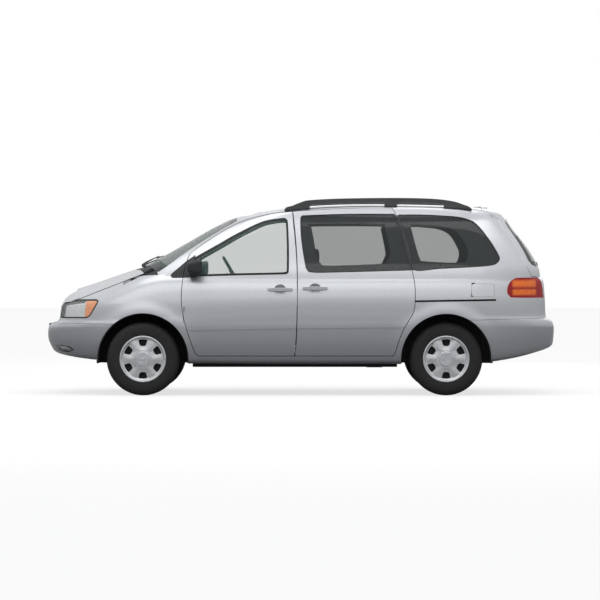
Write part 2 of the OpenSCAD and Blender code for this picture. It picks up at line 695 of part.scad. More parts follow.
// Arms and cross member that hold both front kingpins
module front_suspension()
    color("dimgray") {
        left_and_right() for (z = [-144, 118]) translate([x_front, -king_y, hub_z + z])
            difference() {
                union() {
                    cylinder(h = 26, r = 25, $fn = 48);
                    translate([-25, 0, 0]) cube([50, 252, 26]);
                }
                translate([0, 0, -1]) cylinder(h = 28, r = 14 + pin_play, $fn = 48);
            }
        left_and_right() translate([x_front - 40, -480, hub_z - 144]) cube([80, 40, 420]);
        translate([x_front - 60, -480, hub_z - 144]) cube([120, 960, 60]);
        // Spring towers up to the body
        left_and_right() translate([x_front, -438, hub_z + 270]) cylinder(h = 300, r = 42, $fn = 48);
    }

module rear_beam()
    color("dimgray") {
        translate([x_rear, -620, hub_z]) rotate([-90, 0, 0]) cylinder(h = 1240, r = 42, $fn = 48);
        left_and_right() {
            translate([x_rear, -600, hub_z]) rotate([90, 0, 0]) cylinder(h = half_track - 600 + hub_face - 1, r = spindle_r, $fn = 64);
            translate([x_rear, -578, hub_z + 30]) cylinder(h = 150, r = 46, $fn = 48);
            translate([x_rear - 520, -600, hub_z - 25]) cube([520, 60, 50]);
        }
    }

// Closed inner arches over each wheel
module wheel_housings()
    color("dimgray") left_and_right() {
        housing(x_front, 490, arch_r - 1);
        housing(x_rear, 638, arch_r - 5);
    }

module housing(x, inner, r)
    translate([x, 0, hub_z]) difference() {
        translate([0, -inner, 0]) rotate([90, 0, 0]) cylinder(h = 868 - inner, r = r, $fn = 72);
        translate([0, -inner - 6, 0]) rotate([90, 0, 0]) cylinder(h = 400, r = r - 8, $fn = 72);
        translate([-600, -1000, -600]) cube([1200, 1000, 560]);
        // Way in for the suspension
        translate([-75, -inner - 20, -200]) cube([150, 40, 400]);
    }

// ---------------------------------------------------------------- floor and underbody
module floor_pan()
    color("dimgray") difference() {
        union() {
            translate([-1898, -698, 296]) cube([3696, 1396, 34]);
            // Wall between engine and cabin
            translate([-1010, -800, 330]) cube([24, 1600, 660]);
            // Centre tunnel and cross bars under the seats
            translate([-986, -110, 330]) cube([900, 220, 60]);
            left_and_right() translate([-900, -698, 330]) cube([1700, 60, 30]);
            // Jacking points
            left_and_right() for (x = [-900, 800]) translate([x - 40, -690, 284]) cube([80, 60, 14]);
        }
        for (s = [-1, 1]) {
            translate([x_front, s * 870, hub_z]) rotate([90, 0, 0]) cylinder(h = 760, r = arch_r, center = true, $fn = 72);
            translate([x_rear, s * 870, hub_z]) rotate([90, 0, 0]) cylinder(h = 466, r = arch_r - 4, center = true, $fn = 72);
        }
        // Room for the front cross member and the rear beam
        translate([x_front - 90, -600, 200]) cube([180, 1200, 300]);
        translate([x_rear - 560, -640, 200]) cube([640, 1280, 300]);
        translate([60, -620.3, 200]) cube([640.6, 500.6, 300]);
        // Channel for the exhaust
        translate([-1900, 190, 290]) cube([2680, 90, 30]);
    }

// Raised floor over the rear beam
module beam_cover()
    color("dimgray") difference() {
        translate([x_rear - 566, -520, 330]) cube([652, 1040, 66]);
        translate([x_rear - 560, -514, 320]) cube([640, 1028, 68]);
        translate([x_rear - 50, -600, 320]) cube([100, 1200, 68]);
    }

module floor_pan_all() {
    floor_pan();
    beam_cover();
}

module fuel_tank()
    color("black") translate([60.3, -620, 290]) cube([640, 500, 105]);

module exhaust()
    color("gray") {
        translate([-1000, 235, 300]) rotate([0, 90, 0]) cylinder(h = 1700, r = 19, $fn = 32);
        translate([640, 140, 232]) cube([150, 190, 64]);
    }

module engine_block()
    color("dimgray") {
        translate([-2020, -360, 420]) cube([480, 720, 480]);
        translate([-1900, -300, 900]) cube([300, 600, 60]);
        radiator();
    }

module radiator() translate([-2118, -400, 400]) cube([60, 800, 440]);

// ---------------------------------------------------------------- cabin
module dashboard()
    color("gray") difference() {
        translate([0, 780, 0]) rotate([90, 0, 0]) linear_extrude(1560)
            polygon([[-985, 560], [-985, 1085], [-900, 1115], [-800, 1105], [-740, 1060], [-720, 980], [-740, 900], [-800, 700], [-860, 560]]);
        translate(wheel_centre) rotate([0, 60, 0]) translate([0, 0, -206]) cylinder(h = 300, r = 34.3, $fn = 48);
    }

wheel_centre = [-632, -370, 1130];
module steering_wheel()
    color("black") translate(wheel_centre) rotate([0, 60, 0]) {
        rotate_extrude($fn = 64) translate([178, 0]) circle(r = 13, $fn = 24);
        for (a = [0, 120, 240]) rotate([0, 0, a + 60]) translate([0, -16, -6]) cube([172, 32, 12]);
        translate([0, 0, -20]) cylinder(h = 32, r = 58, $fn = 48);
        translate([0, 0, -64]) cylinder(h = 50, r = 12, $fn = 32);
    }

module steering_column()
    color("black") translate(wheel_centre) rotate([0, 60, 0]) translate([0, 0, -200])
        difference() {
            cylinder(h = 162, r = 34, $fn = 48);
            translate([0, 0, 120]) cylinder(h = 50, r = 12 + pin_play, $fn = 32);
        }

// One seat with its back and head rest; w is its width and base_z its lowest point
module seat(x, y, w, base_z = 330) {
    translate([x, y - w / 2, 0]) {
        translate([40, 50, base_z]) cube([380, w - 100, 120 + 0]);
        translate([0, 0, base_z + 120]) cube([520, w, 150]);
        translate([0, w, 0]) rotate([90, 0, 0]) linear_extrude(w)
            polygon([[420, base_z + 240], [540, base_z + 240], [700, base_z + 850], [610, base_z + 850]]);
    }
    for (side = w > 800 ? [-w / 2 + 200, w / 2 - 200] : [0])
        translate([x + 625, y + side - 120, base_z + 865]) {
            cube([80, 240, 170]);
            for (p = [70, 160]) translate([40, p, -60]) cylinder(h = 70, r = 6, $fn = 16);
        }
}

module front_seats() color("gray") left_and_right() seat(-520, -370, 500, 330.3);
module second_seats() color("gray") left_and_right() seat(330, -370, 500, 395.3);
module third_seat() color("gray") seat(1000, 0, 1020, 396.3);

// ---------------------------------------------------------------- fuel door, hinged along its front edge
fuel_tilt = [-12, 0, 4.3];
fuel_pin = [1604, -889, 978];
fuel_r = 3;
module fuel_opening() {
    side_cut([[1585, 914], [1804, 914], [1804, 1040], [1585, 1040]], -1300, -700);
    translate(fuel_pin) rotate(fuel_tilt) cylinder(h = 132, r = 25, center = true, $fn = 32);
}

module fuel_door()
    color("silver") resize([0, 0, 0])
        intersection() {
            skin(0, 5);
            side_cut([[1592, 921], [1798, 921], [1798, 1033], [1592, 1033]], -1300, -700);
        }

module fuel_hinge()
    color("dimgray") translate(fuel_pin) rotate(fuel_tilt)
        difference() {
            union() {
                cylinder(h = 24, r = 6, center = true, $fn = 32);
                translate([0, -6, -12]) cube([34, 5, 24]);
            }
            cylinder(h = 26, r = fuel_r + pin_play, center = true, $fn = 32);
        }

module fuel_pocket()
    color("dimgray") {
        translate([1585.3, -862, 914.3]) cube([218.4, 7, 125.4]);
        translate(fuel_pin) rotate(fuel_tilt) {
            for (z = [-19, 13]) {
                translate([0, 0, z]) cylinder(h = 6, r = 6, $fn = 32);
                translate([-2, 0, z]) cube([8, 30, 6]);
            }
            cylinder(h = 36, r = fuel_r, center = true, $fn = 32);
        }
        translate([1710, -860, 978]) rotate([90, 0, 0]) cylinder(h = 12, r = 28, $fn = 40);
    }

// ---------------------------------------------------------------- outer fittings
mirror_out = 1078;
module mirror_left()
    color("black") resize([0, 0, 0])
        difference() {
            union() {
                intersection() {
                    translate([-1046, 0, 0]) rotate([90, 0, 90]) linear_extrude(140)
                        polygon([[-mirror_out + 14, 1118], [-920, 1112], [-906, 1130], [-906, 1240], [-930, 1266], [-mirror_out + 40, 1272], [-mirror_out, 1240], [-mirror_out, 1140]]);
                    translate([0, 0, 1100]) linear_extrude(200)
                        polygon([[-1046, -915], [-1030, -1040], [-1000, -mirror_out + 8], [-960, -mirror_out], [-906, -mirror_out], [-906, -900], [-1046, -900]]);
                }
                translate([-1010, -915, 1120]) cube([70, 100, 60]);
            }
            // Recess for the mirror's face
            translate([-918, -mirror_out + 14, 1128]) cube([20, mirror_out - 14 - 920, 128]);
            lower_solid();
            translate([0, -0.3, 0]) upper_solid();
            translate([0, -0.3, 0]) lower_solid();
        }

// Outline of a rail, seen from the side
RAIL = [for (p = [[-150, 1600], [-139, 1752], [-60, 1785], [60, 1812], [370, 1832], [850, 1838], [1200, 1832], [1400, 1815], [1530, 1785], [1606, 1735], [1612, 1600]]) [p[0], p[1] > 1750 ? 1750 + (p[1] - 1750) * rail_h / 88 : p[1]]];
RAIL_GAPS = [
    [[90, 1700], [90, 1772], [370, 1786], [790, 1792], [790, 1700]],
    [[905, 1700], [905, 1792], [1180, 1788], [1345, 1775], [1345, 1700]]
];
module roof_rails()
    color("gray") resize([0, 0, 0]) left_and_right()
        difference() {
            side_cut(flow(RAIL, 2), -694, -652);
            for (g = RAIL_GAPS) side_cut(g, -800, -600);
            for (d = [[0, 0, 0.8], [0, -0.6, 0], [-0.6, 0, 0], [0.6, 0, 0]]) translate(d) outer_solid();
            side_cut(concat([[-400, 1000]], [for (p = GUTTER) if (p[0] > -400) p], [[1826, 1000]]), -800, -600);
        }

plate_h = 140;
module plate_bracket()
    difference() {
        translate([0, -152, -plate_h / 2]) cube([8, 304, plate_h]);
        for (y = [-89, 89]) for (z = [-60.3, 60.3])
            translate([-1, y, z]) rotate([0, 90, 0]) cylinder(h = 10, r = 3.5, $fn = 32);
    }
rear_plate = [half_len - 84 - 4, 0, 838];
module front_plate_bracket() color("black") translate([-half_len + 1, 0, 592]) plate_bracket();
module rear_plate_bracket() color("black") translate(rear_plate) plate_bracket();
module plate_room() {
    translate([-half_len - 5, -152.3, 592 - plate_h / 2 - 0.3]) cube([14.3, 304.6, plate_h + 0.6]);
    translate(rear_plate - [0.3, 152.3, plate_h / 2 + 0.3]) cube([40, 304.6, plate_h + 0.6]);
}

body_side_left();
mirror([0, 1, 0]) body_side_left(false);  // body_side_right
roof_panel();
cowl();
front_fender_left();
mirror([0, 1, 0]) front_fender_left();  // front_fender_right
hood();
front_bumper();
rear_bumper();
front_door_left();
mirror([0, 1, 0]) front_door_left();  // front_door_right
sliding_door_left();
mirror([0, 1, 0]) sliding_door_left();  // sliding_door_right
liftgate();
grille();
headlamps();
tail_lamps();
windshield();
side_pane(FRONT_WINDOW);  // front_door_glass_left
mirror([0, 1, 0]) side_pane(FRONT_WINDOW);  // front_door_glass_right
left_and_right() side_pane(SLIDING_WINDOW, "dimgray");  // sliding_door_glass
left_and_right() side_pane(QUARTER_WINDOW, "dimgray");  // quarter_glass
liftgate_glass();
left_and_right() door_hinges_fixed();  // door_hinge_posts
door_hinges_moving();  // door_hinges_left
mirror([0, 1, 0]) door_hinges_moving();  // door_hinges_right
hood_hinges_fixed();  // hood_hinge_posts
hood_hinges_moving();  // hood_hinges
gate_hinges_fixed();  // gate_hinge_posts
gate_hinges_moving();  // gate_hinges
tyre(x_front);  // tyre_front_left
mirror([0, 1, 0]) tyre(x_front);  // tyre_front_right
tyre(x_rear);  // tyre_rear_left
mirror([0, 1, 0]) tyre(x_rear);  // tyre_rear_right
rim(x_front);  // rim_front_left
mirror([0, 1, 0]) rim(x_front);  // rim_front_right
rim(x_rear);  // rim_rear_left
mirror([0, 1, 0]) rim(x_rear);  // rim_rear_right
knuckle();  // knuckle_left
mirror([0, 1, 0]) knuckle();  // knuckle_right
front_suspension();
rear_beam();
wheel_housings();
floor_pan_all();  // floor_pan
fuel_tank();
exhaust();
engine_block();
union() {
    dashboard();
    steering_column();
}
steering_wheel();
front_seats();
union() {  // rear_seats
    second_seats();
    third_seat();
}
fuel_door();
fuel_hinge();
fuel_pocket();
mirror_left();
mirror([0, 1, 0]) mirror_left();  // mirror_right
roof_rails();
front_plate_bracket();
rear_plate_bracket();
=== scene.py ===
"""Looks of the minivan: smooth painted panels, glass, lamps, wheels and cabin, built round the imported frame.

Sizes are written in millimetres, as on a drawing, and turned to metres where a mesh is made.
+Z is up, the front of the vehicle points towards -X and its left side towards -Y.
"""

from __future__ import annotations

import json
import logging
import math
from dataclasses import dataclass, field
from enum import Enum
from typing import Any, Callable, Iterable, Sequence

import bmesh
import bpy
from mathutils import Matrix, Vector

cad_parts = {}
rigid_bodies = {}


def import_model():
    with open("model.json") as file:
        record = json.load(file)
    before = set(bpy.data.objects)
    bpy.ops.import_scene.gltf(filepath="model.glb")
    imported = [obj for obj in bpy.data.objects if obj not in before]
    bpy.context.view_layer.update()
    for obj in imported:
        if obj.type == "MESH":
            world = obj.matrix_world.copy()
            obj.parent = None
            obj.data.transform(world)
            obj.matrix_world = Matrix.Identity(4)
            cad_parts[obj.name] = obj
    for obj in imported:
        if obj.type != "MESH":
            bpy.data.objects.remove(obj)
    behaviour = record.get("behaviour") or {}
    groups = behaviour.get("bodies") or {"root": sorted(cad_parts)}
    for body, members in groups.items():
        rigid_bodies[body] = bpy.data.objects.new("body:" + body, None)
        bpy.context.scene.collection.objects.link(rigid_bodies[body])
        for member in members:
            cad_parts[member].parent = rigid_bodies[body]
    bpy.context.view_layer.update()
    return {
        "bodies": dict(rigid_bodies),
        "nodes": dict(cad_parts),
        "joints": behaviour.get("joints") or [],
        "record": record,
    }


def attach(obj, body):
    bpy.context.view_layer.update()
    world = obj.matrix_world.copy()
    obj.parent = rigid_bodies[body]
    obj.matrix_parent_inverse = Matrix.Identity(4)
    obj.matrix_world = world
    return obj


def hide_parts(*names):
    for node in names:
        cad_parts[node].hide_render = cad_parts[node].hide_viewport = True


LOG = logging.getLogger("minivan")
MM = 0.001
Point = tuple[float, float]
Outline = list[Point]
Point3 = tuple[float, float, float]
Piece = bpy.types.Object
Tree = bpy.types.NodeTree
Socket = bpy.types.NodeSocket

# ---------------------------------------------------------------- sizes shared with the frame, in millimetres
HALF_LEN = 2385.0
HALF_W = 931.0
WALL = 62.0
GAP = 6.0
HUB_Z = 340.0
X_FRONT = -1457.0
X_REAR = 1355.0
HALF_TRACK = 772.0
ARCH_R = 424.0
SILL_Z = 368.0
DOOR_IN = 634.0
HEADLAMP_IN = 455.0

# Reaches of cutting tools across the vehicle
ACROSS = (-1300.0, 1300.0)
FLANK = (-1300.0, -600.0)
GLAZING = (-1300.0, -500.0)
THROUGH = (-1310.0, -490.0)
# Depths of glass and of its black covers under the outer surface
GLASS_DEPTH = (3, 8)
COVER_DEPTH = (-0.8, 2)


# ---------------------------------------------------------------- plain mesh helpers
def deselect() -> None:
    """Leaves nothing selected and no active object in edit mode."""
    if bpy.context.object is not None and bpy.context.object.mode != "OBJECT":
        bpy.ops.object.mode_set(mode="OBJECT")
    bpy.ops.object.select_all(action="DESELECT")


def activate(obj: Piece) -> None:
    """Selects one object alone and makes it active.

    Args:
        obj: The object to work on.
    """
    deselect()
    obj.select_set(True)
    bpy.context.view_layer.objects.active = obj


def new_object(name: str, points: Sequence[Point3], faces: Sequence[Sequence[int]]) -> Piece:
    """Makes a mesh object from points in millimetres.

    Args:
        name: Name of the object and of its mesh.
        points: Corner positions, in millimetres.
        faces: Corner indices of each face.

    Returns:
        The linked object, at the origin.
    """
    mesh = bpy.data.meshes.new(name)
    mesh.from_pydata([(x * MM, y * MM, z * MM) for x, y, z in points], [], [list(f) for f in faces])
    mesh.validate()
    obj = bpy.data.objects.new(name, mesh)
    bpy.context.collection.objects.link(obj)
    return obj


def recalculate(obj: Piece) -> None:
    """Points every face of a closed mesh outwards."""
    work = bmesh.new()
    work.from_mesh(obj.data)
    bmesh.ops.recalc_face_normals(work, faces=work.faces)
    work.to_mesh(obj.data)
    work.free()


def apply_modifier(obj: Piece, kind: str, **settings: Any) -> None:
    """Adds one modifier, gives it its settings and applies it.

    Args:
        obj: The object to change.
        kind: Blender's name of the modifier type.
        **settings: Attributes to set on it.
    """
    activate(obj)
    modifier = obj.modifiers.new(kind.title(), kind)
    for key, value in settings.items():
        setattr(modifier, key, value)
    bpy.ops.object.modifier_apply(modifier=modifier.name)


def settle(obj: Piece) -> Piece:
    """Applies an object's place, turn and size to its mesh, so that it sits at the origin."""
    activate(obj)
    bpy.ops.object.transform_apply(location=True, rotation=True, scale=True)
    return obj


def discard(*objs: Piece) -> None:
    """Removes tool objects together with their meshes."""
    for obj in objs:
        mesh = obj.data
        bpy.data.objects.remove(obj, do_unlink=True)
        if mesh.users == 0:
            bpy.data.meshes.remove(mesh)


def copy_of(obj: Piece, name: str) -> Piece:
    """Copies an object with a mesh of its own.

    Args:
        obj: The object to copy.
        name: Name of the copy.

    Returns:
        The linked copy.
    """
    twin = obj.copy()
    twin.data = obj.data.copy()
    twin.name = name
    twin.data.name = name
    bpy.context.collection.objects.link(twin)
    return twin


def mirrored(obj: Piece, name: str) -> Piece:
    """Copies an object to the other side of the vehicle, its faces still outwards."""
    twin = copy_of(obj, name)
    twin.data.transform(Matrix.Scale(-1, 4, Vector((0, 1, 0))))
    twin.data.flip_normals()
    return twin


def join(name: str, objs: Sequence[Piece]) -> Piece:
    """Joins finished objects into one."""
    deselect()
    for obj in objs:
        obj.select_set(True)
    bpy.context.view_layer.objects.active = objs[0]
    if len(objs) > 1:
        bpy.ops.object.join()
    objs[0].name = name
    objs[0].data.name = name
    return objs[0]


class Cut(Enum):
    """What a boolean does with its tool."""

    AWAY = "DIFFERENCE"
    KEEP = "INTERSECT"
    ADD = "UNION"


def boolean(obj: Piece, tool: Piece, cut: Cut, keep_tool: bool = False) -> Piece:
    """Cuts or joins one closed mesh with another.

    Args:
        obj: The mesh that is changed.
        tool: The closed mesh that it is cut with.
        cut: What is done.
        keep_tool: True to leave the tool for another use.

    Returns:
        The changed object.
    """
    apply_modifier(obj, "BOOLEAN", object=tool, operation=cut.value, solver="MANIFOLD")
    if not keep_tool:
        discard(tool)
    return obj


# ---------------------------------------------------------------- curves and outlines
def blend_point(a: Point, b: Point, c: Point, d: Point, t: float) -> Point:
    """Point of the smooth curve between b and c."""
    return tuple(
        0.5 * (2 * q + (r - p) * t + (2 * p - 5 * q + 4 * r - s) * t * t + (3 * q - p - 3 * r + s) * t**3)
        for p, q, r, s in zip(a, b, c, d)
    )


def flow(points: Outline, steps: int = 5) -> Outline:
    """Smooth open curve through given points.

    Args:
        points: The points that it passes.
        steps: Pieces between two of them.

    Returns:
        The finer points.
    """
    out: Outline = []
    last = len(points) - 1
    for i in range(last):
        a, b, c, d = points[max(i - 1, 0)], points[i], points[i + 1], points[min(i + 2, last)]
        out += [blend_point(a, b, c, d, s / steps) for s in range(steps)]
    return out + [points[last]]


def grow(points: Outline, by: float) -> Outline:
    """Moves a closed outline outwards, or inwards where the distance is negative.

    Args:
        points: The outline.
        by: Distance in millimetres.

    Returns:
        The moved outline.
    """
    clean = [p for i, p in enumerate(points) if math.dist(p, points[i - 1]) > 0.05]
    n = len(clean)
    area = sum(clean[i - 1][0] * clean[i][1] - clean[i][0] * clean[i - 1][1] for i in range(n))
    side = 1.0 if area > 0 else -1.0
    out: Outline = []
    for i in range(n):
        a, b, c = clean[i - 1], clean[i], clean[(i + 1) % n]
        u = ((b[0] - a[0]), (b[1] - a[1]))
        v = ((c[0] - b[0]), (c[1] - b[1]))
        lu, lv = math.hypot(*u), math.hypot(*v)
        nu = (u[1] / lu * side, -u[0] / lu * side)
        nv = (v[1] / lv * side, -v[0] / lv * side)
        k = 1 + nu[0] * nv[0] + nu[1] * nv[1]
        m = min(1 / max(k, 0.2), 2.0)
        out.append((b[0] + (nu[0] + nv[0]) * by * m, b[1] + (nu[1] + nv[1]) * by * m))
    if by > -5:
        return out

    def clear(p: Point) -> bool:
        """Tells whether a moved point kept its distance from the whole outline."""
        for a, b in zip(clean, clean[1:] + clean[:1]):
            dx, dz = b[0] - a[0], b[1] - a[1]
            t = max(0.0, min(1.0, ((p[0] - a[0]) * dx + (p[1] - a[1]) * dz) / (dx * dx + dz * dz)))
            if math.dist(p, (a[0] + t * dx, a[1] + t * dz)) < -by * 0.97:
                return False
        return True

    return [p for p in out if clear(p)]


def tube(name: str, points: Sequence[Point3], n: int) -> Piece:
    """Closed solid through rings of n points each, capped at both ends."""
    last = len(points) - n
    faces: list[list[int]] = [list(range(n)), list(range(last + n - 1, last - 1, -1))]
    for s in range(0, last, n):
        faces += [[s + i, s + n + i, s + n + (i + 1) % n, s + (i + 1) % n] for i in range(n)]
    obj = new_object(name, points, faces)
    recalculate(obj)
    return obj


def prism(points: Outline, low: float, high: float, axis: str = "Y") -> Piece:
    """Closed solid that an outline gives when it is drawn out straight.

    Args:
        points: Outline as [x, z] for axis Y, [y, z] for axis X and [x, y] for axis Z.
        low: Where it starts along the axis.
        high: Where it ends.
        axis: The axis that it is drawn out along.

    Returns:
        The solid, its faces outwards.
    """
    clean = [p for i, p in enumerate(points) if math.dist(p, points[i - 1]) > 0.02]
    place: Callable[[Point, float], Point3] = {
        "Y": lambda p, h: (p[0], h, p[1]),
        "X": lambda p, h: (h, p[0], p[1]),
        "Z": lambda p, h: (p[0], p[1], h),
    }[axis]
    return tube("tool", [place(p, h) for h in (low, high) for p in clean], len(clean))


def block(low: Point3, high: Point3) -> Piece:
    """Plain box between two corners."""
    return prism(
        [(low[0], low[1]), (high[0], low[1]), (high[0], high[1]), (low[0], high[1])], low[2], high[2], "Z",
    )


def turned(profile: Outline, steps: int = 64, name: str = "turned") -> Piece:
    """Closed body of revolution about the Z axis.

    Args:
        profile: Closed outline as [radius, height]; points with radius 0 lie on the axis.
        steps: Pieces round the axis.
        name: Name of the object.

    Returns:
        The body, its faces outwards.
    """
    mesh = bpy.data.meshes.new(name)
    obj = bpy.data.objects.new(name, mesh)
    bpy.context.collection.objects.link(obj)
    work = bmesh.new()
    ring = [work.verts.new((r * MM, 0, h * MM)) for r, h in profile]
    edges = [work.edges.new((ring[i - 1], ring[i])) for i in range(len(ring))]
    bmesh.ops.spin(
        work, geom=ring + edges, cent=(0, 0, 0), axis=(0, 0, 1), dvec=(0, 0, 0), angle=2 * math.pi,
        steps=steps, use_duplicate=False,
    )
    bmesh.ops.remove_doubles(work, verts=work.verts, dist=1e-6)
    bmesh.ops.recalc_face_normals(work, faces=work.faces)
    work.to_mesh(mesh)
    work.free()
    return obj


# ---------------------------------------------------------------- the body's lines
@dataclass(frozen=True)
class BodyLine:
    """One line round the body, from the middle of the nose to the middle of the tail.

    Attributes:
        nose: X of the nose's middle.
        tail: X of the tail's middle.
        half: Half width.
        round_nose: Roundness exponent of the nose.
        round_tail: Roundness exponent of the tail.
        rise: How much higher the line is at the vehicle's middle.
        heights: Height along X.
    """

    nose: float
    tail: float
    half: float
    round_nose: float
    round_tail: float
    rise: float
    heights: tuple[Point, ...]

    def height(self, x: float) -> float:
        """Height of the line at x, on a smooth curve through its table."""
        p = self.heights
        i = 0
        while i < len(p) - 2 and x > p[i + 1][0]:
            i += 1
        h = p[i + 1][0] - p[i][0]
        t = max(0.0, min(1.0, (x - p[i][0]) / h))

        def slope(k: int) -> float:
            a, b = max(k - 1, 0), min(k + 1, len(p) - 1)
            return (p[b][1] - p[a][1]) / (p[b][0] - p[a][0])

        return (
            (2 * t**3 - 3 * t**2 + 1) * p[i][1]
            + (t**3 - 2 * t**2 + t) * h * slope(i)
            + (3 * t**2 - 2 * t**3) * p[i + 1][1]
            + (t**3 - t**2) * h * slope(i + 1)
        )

    def point(self, mid: float, p: float, inset: float = 0.0) -> Point3:
        """Point at p: 0 nose middle, 1 nose corner, 2 side, 3 tail corner, 4 tail middle."""
        front = p <= 2
        a = p if front else 4 - p
        n = self.round_nose if front else self.round_tail
        reach = mid - (self.nose + inset) if front else (self.tail - inset) - mid
        q = 0.5 ** (1 / n)
        if a <= 1:
            u, v = max(0.0, 1 - (q * a) ** n) ** (1 / n), q * a
        else:
            u, v = q * (2 - a), max(0.0, 1 - (q * (2 - a)) ** n) ** (1 / n)
        x = mid + (-1 if front else 1) * reach * u
        return x, (self.half - inset) * v, self.height(x) + self.rise * (1 - v * v)


LOWER: tuple[BodyLine, ...] = (
    BodyLine(
        -HALF_LEN + 190, HALF_LEN - 85, HALF_W - 135, 3.2, 5.5, 0,
        ((-2200, 345), (-1900, 300), (-1000, 285), (1600, 290), (1950, 330), (2300, 415)),
    ),
    BodyLine(
        -HALF_LEN + 50, HALF_LEN - 12, HALF_W - 52, 3.6, 6.5, 0,
        ((-2335, 405), (-1900, 352), (-1000, 330), (1600, 335), (2000, 372), (2375, 462)),
    ),
    BodyLine(
        -HALF_LEN, HALF_LEN, HALF_W - 14, 4.0, 7, 0,
        ((-2385, 520), (-1900, 475), (0, 470), (1600, 480), (2385, 535)),
    ),
    BodyLine(-HALF_LEN + 5, HALF_LEN, HALF_W, 4.2, 7.5, 0, ((-2380, 630), (0, 640), (2385, 640))),
    BodyLine(
        -HALF_LEN + 38, HALF_LEN - 22, HALF_W, 4.3, 7.5, 0,
        ((-2350, 668), (-1800, 672), (0, 700), (1800, 700), (2360, 692)),
    ),
    BodyLine(
        -HALF_LEN + 96, HALF_LEN - 72, HALF_W - 1, 4.3, 7.5, 0,
        ((-2290, 690), (-1800, 700), (0, 780), (1700, 745), (2312, 722)),
    ),
    BodyLine(
        -HALF_LEN + 122, HALF_LEN - 84, HALF_W - 8, 4.2, 7.2, 0,
        ((-2262, 825), (-1900, 860), (0, 930), (1700, 930), (2300, 935)),
    ),
    BodyLine(
        -HALF_LEN + 165, HALF_LEN - 105, HALF_W - 42, 4.0, 7, 0,
        (
            (-2215, 900), (-2034, 880), (-1700, 975), (-1378, 1062), (-1000, 1078), (0, 1078), (1700, 1085),
            (2280, 1085),
        ),
    ),
    BodyLine(
        -HALF_LEN + 205, HALF_LEN - 190, HALF_W - 145, 3.8, 7, 0,
        (
            (-2175, 936), (-2034, 935), (-1850, 988), (-1700, 1042), (-1378, 1150), (-1150, 1176), (0, 1125),
            (2195, 1110),
        ),
    ),
    BodyLine(
        -HALF_LEN + 262, HALF_LEN - 300, HALF_W - 370, 3.6, 7, 0,
        (
            (-2120, 968), (-1975, 1012), (-1808, 1070), (-1697, 1105), (-1475, 1178), (-1250, 1205),
            (0, 1130), (2085, 1110),
        ),
    ),
)
UPPER: tuple[BodyLine, ...] = (
    BodyLine(-1720, HALF_LEN - 122, HALF_W - 38, 6.0, 7, 0, ((-1720, 1060), (2265, 1060))),
    BodyLine(-1505, HALF_LEN - 136, HALF_W - 54, 6.0, 7, 0, ((-1505, 1180), (2250, 1180))),
    BodyLine(-1250, HALF_LEN - 203, HALF_W - 92, 6.0, 7, 0, ((-1250, 1320), (2180, 1320))),
    BodyLine(-1020, HALF_LEN - 294, HALF_W - 134, 6.0, 7, 0, ((-1020, 1450), (2090, 1450))),
    BodyLine(-836, HALF_LEN - 382, HALF_W - 178, 6.0, 7, 0, ((-836, 1556), (2000, 1560))),
    BodyLine(-705, HALF_LEN - 436, HALF_W - 213, 5.6, 7, 30, ((-705, 1604), (-300, 1640), (1945, 1628))),
    BodyLine(
        -610, HALF_LEN - 482, HALF_W - 246, 5.2, 7, 48,
        (
            (-610, 1634), (-300, 1686), (-90, 1718), (370, 1749), (930, 1752), (1500, 1735), (1710, 1708),
            (1903, 1672),
        ),
    ),
    BodyLine(
        -520, HALF_LEN - 545, HALF_W - 330, 4.6, 6, 26,
        (
            (-520, 1686), (-300, 1720), (-90, 1748), (370, 1776), (930, 1778), (1500, 1760), (1710, 1737),
            (1840, 1716),
        ),
    ),
)


def span_point(a: Vector, b: Vector, c: Vector, d: Vector, t: float, pull: float = 0.5) -> Vector:
    """Point between b and c on a curve that never swings past its chords; a weak pull keeps it near them."""

    def tangent(p: Vector, q: Vector, r: Vector) -> Vector:
        u, v = q - p, r - q
        lu, lv = u.length, v.length
        if lu < 1e-6 or lv < 1e-6:
            return c - b
        return (u / lu + v / lv) * pull * min(lu, lv, (c - b).length * 1.2)

    tb, tc = tangent(a, b, c), tangent(b, c, d)
    return (
        (2 * t**3 - 3 * t**2 + 1) * b + (t**3 - 2 * t**2 + t) * tb + (3 * t**2 - 2 * t**3) * c
        + (t**3 - t**2) * tc
    )


